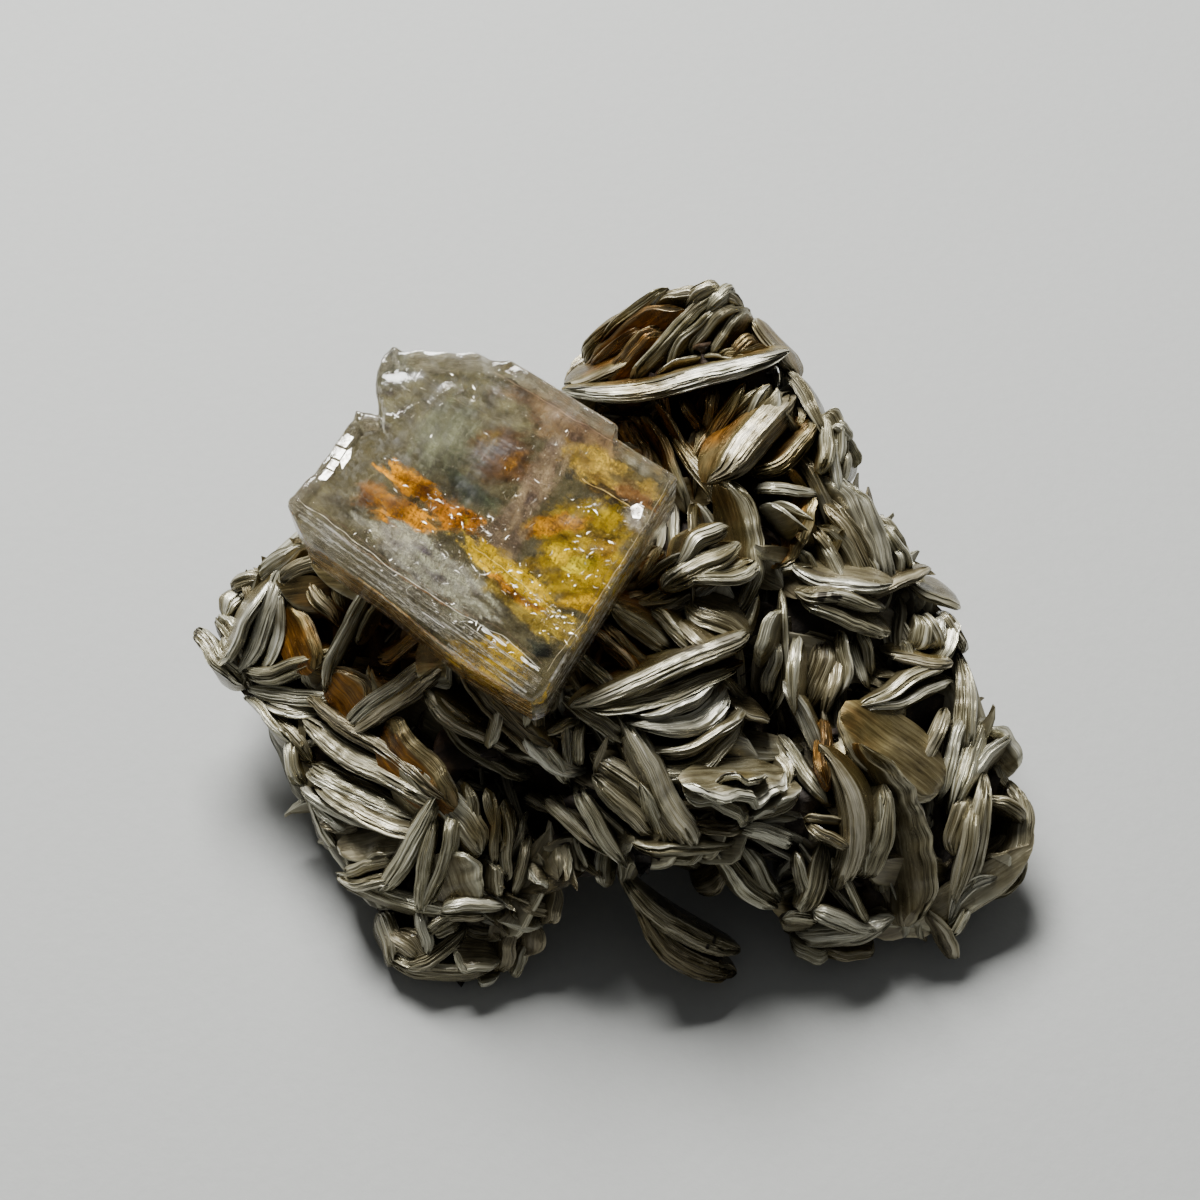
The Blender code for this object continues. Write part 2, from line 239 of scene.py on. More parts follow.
micaBook = {
    "sheafThickness": 1.5,    # a thicker book is drawn as several sheaves side by side, mm
    "ridge": 0.075,           # how far the sheet ends stand in and out of the rim, mm
    "step": 0.17,             # how far whole packets of sheets stand in and out, mm
    "crown": 0.70,            # roundness of the rim
    "slant": 0.35,            # how much a rim slopes towards one of its sides
    "fray": 0.45,             # how much earlier some sheets end, as a share of the length
    "splay": 7.0,             # degrees between the outer sheaves of a book at the rim
    "warp": 0.25,             # how far a book wanders from its curve, mm
    "skew": 0.3,              # how far the highest point of a rim may lie from its middle
    "blunt": (2.4, 4.0, 8.0),  # an end is drawn as one of these, from pointed to square
    "packets": (0.6, 1.0),    # a sheaf thicker than each of these has one more packet, mm
    "endDrop": 0.32,          # how far the rim falls back at its ends, as a share of the depth
    "cup": 0.30,              # how far a sheet curls over towards its rim, mm
    "terrace": 0.07,          # steps down the flat sides, mm
    "crinkle": 0.05,          # small waves along a rim, mm
    "folds": 0.26,            # waves in a sheet that is seen from its side, mm
    "foldedFrom": (25, 50),   # degrees of lean over which the folds come in
    "closeSides": (0.05, 0.13, 0.25, 0.42, 0.66, 1.0),  # rows down a side, as shares of its depth
    "plainSides": (0.15, 1.0),
    "sharpFrom": 38,          # degrees
}
detail = {"standing": 1.2, "listed": 1.1}    # how closely the sheets of a book are drawn


class Heap:
    # gathers the rings of many books into one mesh
    def __init__(self):
        self.points = []
        self.faces = []
        self.sheet = []
        self.mark = []
        self.stain = []
        self.groove = []
        self.count = 0

    def addLoft(self, rings, sheet, mark, stain, groove):
        # rings: along x around x 3, closed round and at both ends
        along, around = rings.shape[:2]
        index = self.count + np.arange(along * around).reshape(along, around)
        nextRound = np.roll(index, -1, 1)
        quads = np.stack((index[:-1], index[1:], nextRound[1:], nextRound[:-1]), -1).reshape(-1, 4)
        self.faces.extend(quads.tolist())
        self.faces.append(index[0].tolist())
        self.faces.append(index[-1][::-1].tolist())
        self.points.append(rings.reshape(-1, 3))
        self.sheet.append(sheet.reshape(-1, 3))
        self.mark.append(mark.reshape(-1, 3))
        self.stain.append(np.full(along * around, stain))
        self.groove.append(groove.reshape(-1))
        self.count += along * around

    def mesh(self, name):
        points = np.clip(np.concatenate(self.points), sizeLow, sizeHigh)    # flat where it rests
        made = bpy.data.meshes.new(name)
        made.from_pydata((points * mm).tolist(), [], self.faces)
        sheet = made.attributes.new("sheet", "FLOAT_VECTOR", "POINT")
        sheet.data.foreach_set("vector", np.concatenate(self.sheet).astype(np.float32).ravel())
        mark = np.concatenate(self.mark)
        mark[:, 2] = sunkness(points)
        marks = made.attributes.new("mark", "FLOAT_VECTOR", "POINT")
        marks.data.foreach_set("vector", mark.astype(np.float32).ravel())
        rust = made.attributes.new("rust", "FLOAT", "POINT")
        stain = np.maximum(rustiness(points), np.concatenate(self.stain))
        rust.data.foreach_set("value", stain.astype(np.float32))
        groove = made.attributes.new("groove", "FLOAT", "POINT")
        groove.data.foreach_set("value", np.concatenate(self.groove).astype(np.float32))
        made.shade_smooth()
        made.set_sharp_from_angle(angle=math.radians(micaBook["sharpFrom"]))
        return made


def softLine(values, samples):
    # a soft line through the values, or several side by side
    knots = len(values) - 2
    x = np.linspace(0, knots, samples)
    lower = np.minimum(x.astype(int), knots)
    part = (x - lower).reshape(-1, *[1] * (values.ndim - 1))
    part = part * part * (3 - 2 * part)
    return values[lower] * (1 - part) + values[lower + 1] * part


def smoothRandom(rng, samples, knots):
    return softLine(rng.uniform(-1, 1, knots + 2), samples)


def smoothField(rng, samples, knots, columns):
    return softLine(rng.normal(size=(knots + 2, columns)), samples)


def softStep(value, low, high):
    part = np.clip((value - low) / (high - low), 0, 1)
    return part * part * (3 - 2 * part)


def growBook(heap, book, rng, fine):
    # one book: sheaves side by side that meet at one end
    count = max(1, int(round(book["thickness"] / micaBook["sheafThickness"])))
    meet = rng.choice((-1, 1))
    tone = book.get("tone", rng.uniform(0, 1))
    twist = book.get("twist", rng.uniform(-7, 7))
    cup = micaBook["cup"] * rng.normal() * min(1.0, book["depth"] / 4)
    samples = max(9, int(6 + book["length"] * 2.2 * fine))
    bend = micaBook["warp"] * smoothRandom(rng, samples, 3) * min(1.0, book["length"] / 8)
    for number in range(count):
        place = 0.0 if count == 1 else number / (count - 1) * 2 - 1
        growSheaf(heap, book, rng, fine, samples, {
            "place": place, "share": 1 / count, "meet": meet, "twist": twist, "cup": cup, "bend": bend,
            "tone": float(np.clip(tone + rng.normal(0, 0.10), 0, 1)),
            "raise": rng.uniform(-0.30, 0.12) * (count > 1) * (0.4 + abs(place)),
            "shorten": 1 - rng.uniform(0, 0.25) * (count > 1) * abs(place)})


def growSheaf(heap, book, rng, fine, samples, sheaf):
    # one tapering packet of sheets with a rounded, grooved rim
    middle, along, outward = (np.asarray(book[key], float) for key in ("middle", "along", "outward"))
    across = np.cross(outward, along)
    depth = book["depth"]
    thick = book["thickness"] * sheaf["share"] * rng.uniform(0.85, 1.30)
    half = book["length"] / 2 * sheaf["shorten"]
    shift = rng.uniform(-0.5, 0.5) * (book["length"] / 2 - half) * 2
    columns = int(np.clip(4 + thick * 9 * fine, 6, 20))
    u, v = np.linspace(-1, 1, samples), np.linspace(1, -1, columns)
    skew = rng.uniform(-micaBook["skew"], micaBook["skew"])
    lopsided = np.clip(np.abs(u - skew * (1 - u * u)), 0, 1)
    blunt = np.where(u < 0, rng.choice(micaBook["blunt"]), rng.choice(micaBook["blunt"]))
    taper = np.clip(1 - lopsided ** blunt, 0, 1) ** rng.uniform(0.6, 0.85)
    thin = thick / 2 * (0.08 + 0.92 * taper)
    size = min(1.0, thick / 0.9)

    relief = micaBook["ridge"] * size * smoothField(rng, samples, max(2, samples // 7), columns)
    for _ in range(1 + sum(bool(thick > least) for least in micaBook["packets"])):
        border = (rng.uniform(-0.7, 0.7) + 0.25 * smoothRandom(rng, samples, 2))[:, None]
        relief += micaBook["step"] * size * rng.normal() * (softStep(v[None], border - 0.1, border + 0.1) - 0.5)
    ends = 1 - micaBook["fray"] * rng.random((2, columns)) ** 2
    ends = (ends + np.roll(ends, 1, 1)) / 2
    fall = (softStep(u[:, None], ends[:1] - 0.08, ends[:1] + 0.08)
            + softStep(-u[:, None], ends[1:] - 0.08, ends[1:] + 0.08))
    drop = book.get("dive", micaBook["endDrop"]) * rng.uniform(0.6, 1.3) * depth
    rimLine = (sheaf["raise"] - drop * lopsided ** rng.uniform(2.6, 5.0)
               + 0.04 * depth * smoothRandom(rng, samples, 3))
    crown = micaBook["crown"] * thin[:, None] * v[None] ** 2
    slant = micaBook["slant"] * rng.normal() * thin[:, None] * v[None]
    ragged = (micaBook["crinkle"] + book.get("ragged", 0.0)) * smoothRandom(rng, samples, samples // 2)
    w = (rimLine[:, None] + ragged[:, None] + relief * (0.25 + 0.75 * taper[:, None]) - crown + slant
         - 0.15 * depth * fall)
    t = thin[:, None] * v[None]
    base = -depth * (1 - 0.35 * np.abs(u) ** 2.5)

    # the flat sides run from the rim down into the mass
    sides = micaBook["closeSides"] if fine > 1 else micaBook["plainSides"]
    left, right = [], []
    for share in sides:
        for edge, rows, sign in ((0, left, 1), (-1, right, -1)):
            down = w[:, edge] + (np.minimum(base, w[:, edge] - 0.3) - w[:, edge]) * share
            terrace = micaBook["terrace"] * size * smoothRandom(rng, samples, 3) * (share < 1)
            wide = thin * (1.0 + 0.15 * share) + terrace
            rows.append((down, sign * np.maximum(wide, 0.02)))
    allW = np.stack([row[0] for row in left[::-1]] + list(w.T) + [row[0] for row in right], 1)
    allT = np.stack([row[1] for row in left[::-1]] + list(t.T) + [row[1] for row in right], 1)
    isEdge = np.array([0.0] * (len(sides) - 1) + [0.35] + [1.0] * columns + [0.35] + [0.0] * (len(sides) - 1))

    spread = sheaf["place"] * book["thickness"] / 2 * (1 - sheaf["share"])
    centre = spread * (1 - 0.75 * softStep(u * sheaf["meet"], -0.1, 1.0))
    sag = book["bow"] * (0.5 - u * u) + sheaf["bend"] + 0.08 * smoothRandom(rng, samples, 3)
    sag = sag + 0.5 * micaBook["crinkle"] * smoothRandom(rng, samples, samples // 2)
    splay = micaBook["splay"] / 2 * sheaf["place"] * (1 - 0.6 * (u * sheaf["meet"] > 0) * np.abs(u))
    tilt = np.radians(splay + sheaf["twist"] * u)
    lever = (allW + depth) / depth
    turned = allT + (centre + sag)[:, None] + lever * depth * np.tan(tilt)[:, None] + sheaf["cup"] * (lever ** 2 - 1)
    if book.get("folds"):
        turned = turned + book["folds"] * smoothRandom(rng, samples, samples // 3)[:, None] * lever ** 2
    x = (shift + u * half)[:, None] * np.ones_like(allW)
    rings = middle + x[..., None] * along + allW[..., None] * outward + turned[..., None] * across
    seed = rng.uniform(-50, 50, 3)
    flat = np.concatenate((np.full(len(sides), 1.0), v, np.full(len(sides), -1.0))) * thick / 2
    sheet = np.stack((x + seed[0], np.broadcast_to(flat, x.shape) + seed[1], seed[2] - allW), -1)
    mark = np.zeros_like(sheet)
    mark[..., 0] = sheaf["tone"]
    mark[..., 1] = isEdge
    groove = np.full(allW.shape, 0.5)
    groove[:, len(sides):len(sides) + columns] = np.clip(0.5 + relief / (micaBook["ridge"] * 6), 0, 1)
    heap.addLoft(rings, sheet, mark, book.get("stain", 0.0), groove)


def readBook(node):
    # a CAD book's place and size from its solid
    points = np.array([vertex.co for vertex in node.data.vertices]) / mm
    points = np.unique(points.round(4), axis=0)
    centre = points.mean(0)
    axes = np.linalg.svd(points - centre)[2]
    along, outward = axes[0], axes[1]
    if outward @ (centre - massCentre) < 0:
        outward = -outward
    if along[0] < 0:
        along = -along
    across = np.cross(outward, along)
    local = (points - centre) @ np.stack((along, outward, across), 1)
    span = np.ptp(local[:, 0])
    fit = np.polyfit(local[:, 0], local[:, 2], 2)
    bow = -fit[0] * (span / 2) ** 2
    thickness = np.ptp(local[:, 2] - np.polyval(fit, local[:, 0]))
    return {"middle": centre + outward * np.ptp(local[:, 1]) / 2, "along": along, "outward": outward,
            "length": span, "depth": np.ptp(local[:, 1]), "thickness": thickness, "bow": bow}


mass = {
    "darkFrom": 3.5,              # a book's painted shade is darkest this deep inside the mass, mm
    "passing": (150, 215, 60),    # where a ray that misses the mass is tried: from, to, how often
    "steepest": 0.55,             # how fast a rim may run away from the eye
    "rootedWithin": 0.3,          # a foot may stand this far out of the mass, mm
    "leansTried": (1, 0.7, 0.4, 0.1, -0.3, -0.6),       # shares of the lean, until the foot meets the mass
    "depthsTried": (1.0, 0.85, 0.7, 0.55, 0.42),        # shares of the depth
}


def treeOf(*nodes):
    corners, faces = [], []
    for node in nodes:
        start = len(corners)
        corners.extend(vertex.co / mm for vertex in node.data.vertices)
        faces.extend(tuple(start + corner for corner in face.vertices) for face in node.data.polygons)
    return BVHTree.FromPolygons(corners, faces)


core = cadNodes["muscovite_core"]
coreTree = treeOf(core)
skinTree = treeOf(*(node for name, node in cadNodes.items() if name != "beryl_crystal"))

rustSpots = {
    # pixel, height, reach in mm, strength
    "leftPocket": ((340, 615), 15, 6.5, 1.0),
    "pocketRight": ((400, 655), 17, 5.0, 1.0),
    "underLeftCorner": ((440, 655), 18, 3.5, 0.9),
    "upperHollow": ((655, 430), 23, 7.0, 1.0),
    "upperHollowRight": ((712, 420), 25, 4.5, 1.0),
    "hornFace": ((615, 345), 26, 4.5, 1.0),
    "hornFoot": ((745, 340), 28, 3.5, 0.8),
    "ridgeFoot": ((800, 455), 25, 3.8, 0.8),
    "ridgeShelf": ((815, 520), 23, 3.5, 0.7),
    "underRightSide": ((645, 585), 21, 5.0, 1.0),
    "underTip": ((600, 650), 20, 5.0, 1.0),
    "besideFan": ((690, 500), 23, 3.5, 0.8),
    "lensEnd": ((735, 665), 20, 2.5, 1.0),
    "amberPlate": ((850, 730), 18, 5.0, 0.8),
    "stepFolds": ((935, 635), 18, 3.5, 0.7),
    "underBrightPlate": ((740, 765), 19, 1.4, 0.8),
    "amberLeaf": ((440, 740), 17, 4.0, 0.6),
    "centre": ((560, 730), 19, 3.5, 0.6),
    "darkUprights": ((490, 825), 13, 3.0, 0.8),
    "leftEdge": ((300, 760), 10, 2.5, 0.5),
}


def placeAtHeight(px, py, height):
    ray = pixelRay(px, py)
    return eye + ray * (height - eye[2]) / ray[2]


rustPlaces = [(placeAtHeight(*pixel, height), reach, strength)
              for pixel, height, reach, strength in rustSpots.values()]
hollows = (
    # pixel, then height, reach and extra depth in mm
    ((296, 620), 16, 2.0, 2.0), ((350, 612), 19, 3.4, 4.5), ((395, 655), 18.7, 3.2, 4.2),
    ((440, 655), 20, 2.2, 3.0), ((380, 845), 10, 2.5, 2.0), ((495, 830), 13, 3.0, 2.5),
    ((650, 435), 23, 4.4, 4.6), ((710, 415), 25.5, 3.2, 4.2), ((690, 452), 22.5, 3.0, 3.4),
    ((780, 480), 22, 2.4, 2.8), ((655, 560), 23, 2.5, 2.5), ((760, 640), 20, 2.4, 0.9),
    ((630, 640), 21, 2.2, 2.0), ((850, 700), 16, 2.0, 0.8), ((925, 735), 12, 2.0, 1.0),
    ((600, 860), 10, 2.6, 1.0), ((348, 848), 11, 2.2, 1.8), ((455, 880), 10, 2.0, 1.6),
    ((385, 940), 6, 1.6, 1.2), ((620, 350), 24, 2.0, 1.6),
)
hollowPlaces = [(placeAtHeight(*pixel, height), reach, depth) for pixel, height, reach, depth in hollows]


def hollowAt(point):
    return max(depth * math.exp(-(np.linalg.norm(point - place) / reach) ** 2)
               for place, reach, depth in hollowPlaces)


def rustiness(points):
    found = np.zeros(len(points))
    for place, reach, strength in rustPlaces:
        gap = np.linalg.norm(points - place, axis=1) / reach
        found = np.maximum(found, strength * np.exp(-gap * gap))
    return found


def outsideOf(tree, point):
    # distance outside a closed solid, negative inside
    spot, normal, _, gap = tree.find_nearest(Vector(point))
    return gap if (Vector(point) - spot).dot(normal) > 0 else -gap


def standsOut(point):
    return outsideOf(coreTree, point)


def sunkness(points):
    # 0 at the skin of the mass and 1 deep inside it
    return np.array([min(1.0, max(0.0, -standsOut(point)) / mass["darkFrom"]) for point in points])


def seatOn(px, py):
    # the first point of the mass behind a pixel, or the point where the ray passes it closest
    ray = pixelRay(px, py)
    spot = skinTree.ray_cast(Vector(eye), Vector(ray))[0]
    if spot:
        return np.array(spot)
    steps = [eye + ray * far for far in np.linspace(*mass["passing"])]
    gaps = [skinTree.find_nearest(Vector(step))[3] for step in steps]
    return steps[int(np.argmin(gaps))]


def rootedDepth(middle, along, outward, half, depth):
    # the depth at which the foot of a book stays in the mass best
    tried = []
    for share in mass["depthsTried"]:
        deep = depth * share
        feet = [middle - outward * deep] + [middle + along * half * side * 0.9 - outward * deep * 0.65
                                            for side in (-1, 1)]
        tried.append((max(0.1, max(standsOut(foot) for foot in feet)), deep))
        if tried[-1][0] == 0.1:
            break
    return min(tried, key=lambda item: item[0])[1]


def bookAt(entry, rooted):
    # entry: rim from, rim to, thickness, depth, lean, bow, lift, stain
    start, stop, thickness, depth, lean, bow, lift, stain, *ragged = entry
    shares = np.linspace(0, 1, 5)
    fars = []
    for share in shares:
        px, py = (start[i] + (stop[i] - start[i]) * share for i in (0, 1))
        fars.append(np.linalg.norm(seatOn(px, py) - eye))
    slope, first = np.polyfit(shares, fars, 1)
    steepest = mass["steepest"] * (np.linalg.norm(np.subtract(stop, start)) / pixelsPerMm)
    slope = np.clip(slope, -steepest, steepest)
    first = np.mean(fars) - slope / 2
    ends = [eye + pixelRay(*pixel) * (first + slope * share - lift) for pixel, share in ((start, 0), (stop, 1))]
    span = ends[1] - ends[0]
    length = np.linalg.norm(span)
    along = span / length
    middle = (ends[0] + ends[1]) / 2
    facing = eye - middle
    facing -= along * (facing @ along)
    facing /= np.linalg.norm(facing)
    side = np.cross(along, facing)
    for share in mass["leansTried"]:
        # a book whose foot would miss the mass leans less
        angle = math.radians(lean * share)
        outward = facing * math.cos(angle) + side * math.sin(angle)
        if not rooted or standsOut(middle - outward * depth) < mass["rootedWithin"]:
            break
    foot = middle - outward * depth
    if rooted and standsOut(foot) > mass["rootedWithin"]:
        middle = middle + (np.array(coreTree.find_nearest(Vector(foot))[0]) - foot)
    if rooted:
        depth = rootedDepth(middle, along, outward, length / 2, depth)
    folds = micaBook["folds"] * float(softStep(abs(lean), *micaBook["foldedFrom"])) + sum(ragged)
    return {"middle": middle, "along": along, "outward": outward, "length": length * 1.06, "depth": depth,
            "thickness": thickness * 1.3, "bow": bow, "stain": stain, "ragged": sum(ragged), "folds": folds}


print("frame read:", len(cadNodes), "nodes")


def micaLook():
    look = Look("mica")
    sheet = look.attribute("sheet")
    tone, edge, sunk = look.parts(look.attribute("mark"))
    rust = look.attribute("rust", "Fac")
    groove = look.attribute("groove", "Fac")
    lines = look.noiseAt(look.stretch(sheet, (0.12, 5.0, 0.25)), 1.0, 4.0, 0.62)
    fineLines = look.noiseAt(look.stretch(sheet, (0.30, 13.0, 0.6)), 1.0, 2.0, 0.6)
    faceLines = look.noiseAt(look.stretch(sheet, (0.25, 0.6, 4.0)), 1.0, 5.0, 0.70)
    patches = look.noiseAt(look.stretch(sheet, (0.40, 0.6, 0.50)), 1.0, 3.0, 0.6)
    streak = lines * 0.55 + fineLines * 0.45
    rim = look.ramp(look.step(streak + (groove - 0.5) * 0.18, 0.30, 0.72), [
        (0.0, (0.070, 0.055, 0.024)), (0.22, (0.19, 0.168, 0.092)), (0.5, (0.34, 0.315, 0.205)),
        (0.78, (0.47, 0.45, 0.33)), (1.0, (0.70, 0.68, 0.56))])
    face = look.ramp(patches * 0.35 + faceLines * 0.65, [
        (0.34, (0.030, 0.022, 0.009)), (0.45, (0.105, 0.085, 0.040)), (0.55, (0.20, 0.175, 0.10)),
        (0.66, (0.38, 0.355, 0.25))])
    colour = look.blend(edge, face, rim)
    colour = look.blend(look.step(tone, 0.45, 1.0) * 0.65, colour, (0.34, 0.26, 0.13), "MULTIPLY")
    colour = look.blend(look.step(tone, 0.5, 0.0) * 0.30 * edge, colour, (0.62, 0.62, 0.55))
    amber = look.ramp(fineLines * 0.4 + faceLines * 0.6, [
        (0.34, (0.016, 0.0055, 0.0005)), (0.5, (0.12, 0.046, 0.0010)), (0.66, (0.36, 0.145, 0.0030))])
    olive = look.ramp(fineLines * 0.3 + faceLines * 0.7, [
        (0.34, (0.050, 0.035, 0.009)), (0.5, (0.125, 0.092, 0.026)), (0.66, (0.24, 0.19, 0.070))])
    stain = rust + (patches - 0.5) * 0.6 - edge * 0.30
    colour = look.blend(look.step(stain, 0.10, 0.45) * 0.8, colour, olive)
    colour = look.blend(look.step(stain, 0.40, 0.95), colour, amber)
    # painted shade: the deeper a book lies inside the mass, the closer its colour goes to near black, or to dark amber
    # where it is rust-stained
    deep = look.step(sunk, 0.10, 0.75)
    shade = look.blend(look.step(rust, 0.2, 0.8), (0.018, 0.012, 0.006), (0.075, 0.030, 0.0025))
    colour = look.blend(deep * 0.92, colour, shade)
    height = lines * 0.45 * edge + fineLines * 0.45 + faceLines * 0.4 * (1 - edge)
    bump = look.bump(0.8, 0.0003, height)
    roughness = look.step(fineLines, 0.35, 0.7) * 0.30 + 0.20 + deep * 0.4
    metal = look.step(stain, 0.1, 0.6) * 0.15 + 0.55
    coat = (1 - deep) * (1 - look.step(stain, 0.1, 0.6)) * 0.3
    return look.finish(look.surface({
        "Base Color": colour, "Roughness": roughness, "Metallic": metal, "IOR": 1.6,
        "Coat Weight": coat, "Coat Roughness": 0.16, "Normal": bump}))


def groundLook():
    look = Look("stained ground")
    where = look.objectPlace()
    clumps = look.noiseAt(where, 420.0, 5.0, 0.62)
    grains = look.noiseAt(where, 2600.0, 3.0, 0.6)
    # painted shade: the ground between the books is near black so the gaps read as deep shade; the amber where rusty
    # is stain
    paintedShadeColour = look.ramp(clumps, [(0.3, (0.005, 0.004, 0.002)), (0.52, (0.022, 0.014, 0.007)),
                               (0.7, (0.060, 0.040, 0.018))])
    amber = look.ramp(clumps, [(0.3, (0.012, 0.004, 0.0006)), (0.52, (0.085, 0.032, 0.0020)),
                               (0.7, (0.30, 0.13, 0.008))])
    colour = look.blend(look.step(look.attribute("rust", "Fac"), 0.15, 0.75), paintedShadeColour, amber)
    bump = look.bump(0.8, 0.0004, clumps * 0.6 + grains * 0.4)
    return look.finish(look.surface({"Base Color": colour, "Roughness": grains * 0.3 + 0.6, "Normal": bump}))


mica = micaLook()
ground = groundLook()


def addPiece(name, mesh, material):
    made = bpy.data.objects.new(name, mesh)
    bpy.context.scene.collection.objects.link(made)
    if material:
        made.data.materials.clear()
        made.data.materials.append(material)
    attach(made, "root")
    return made


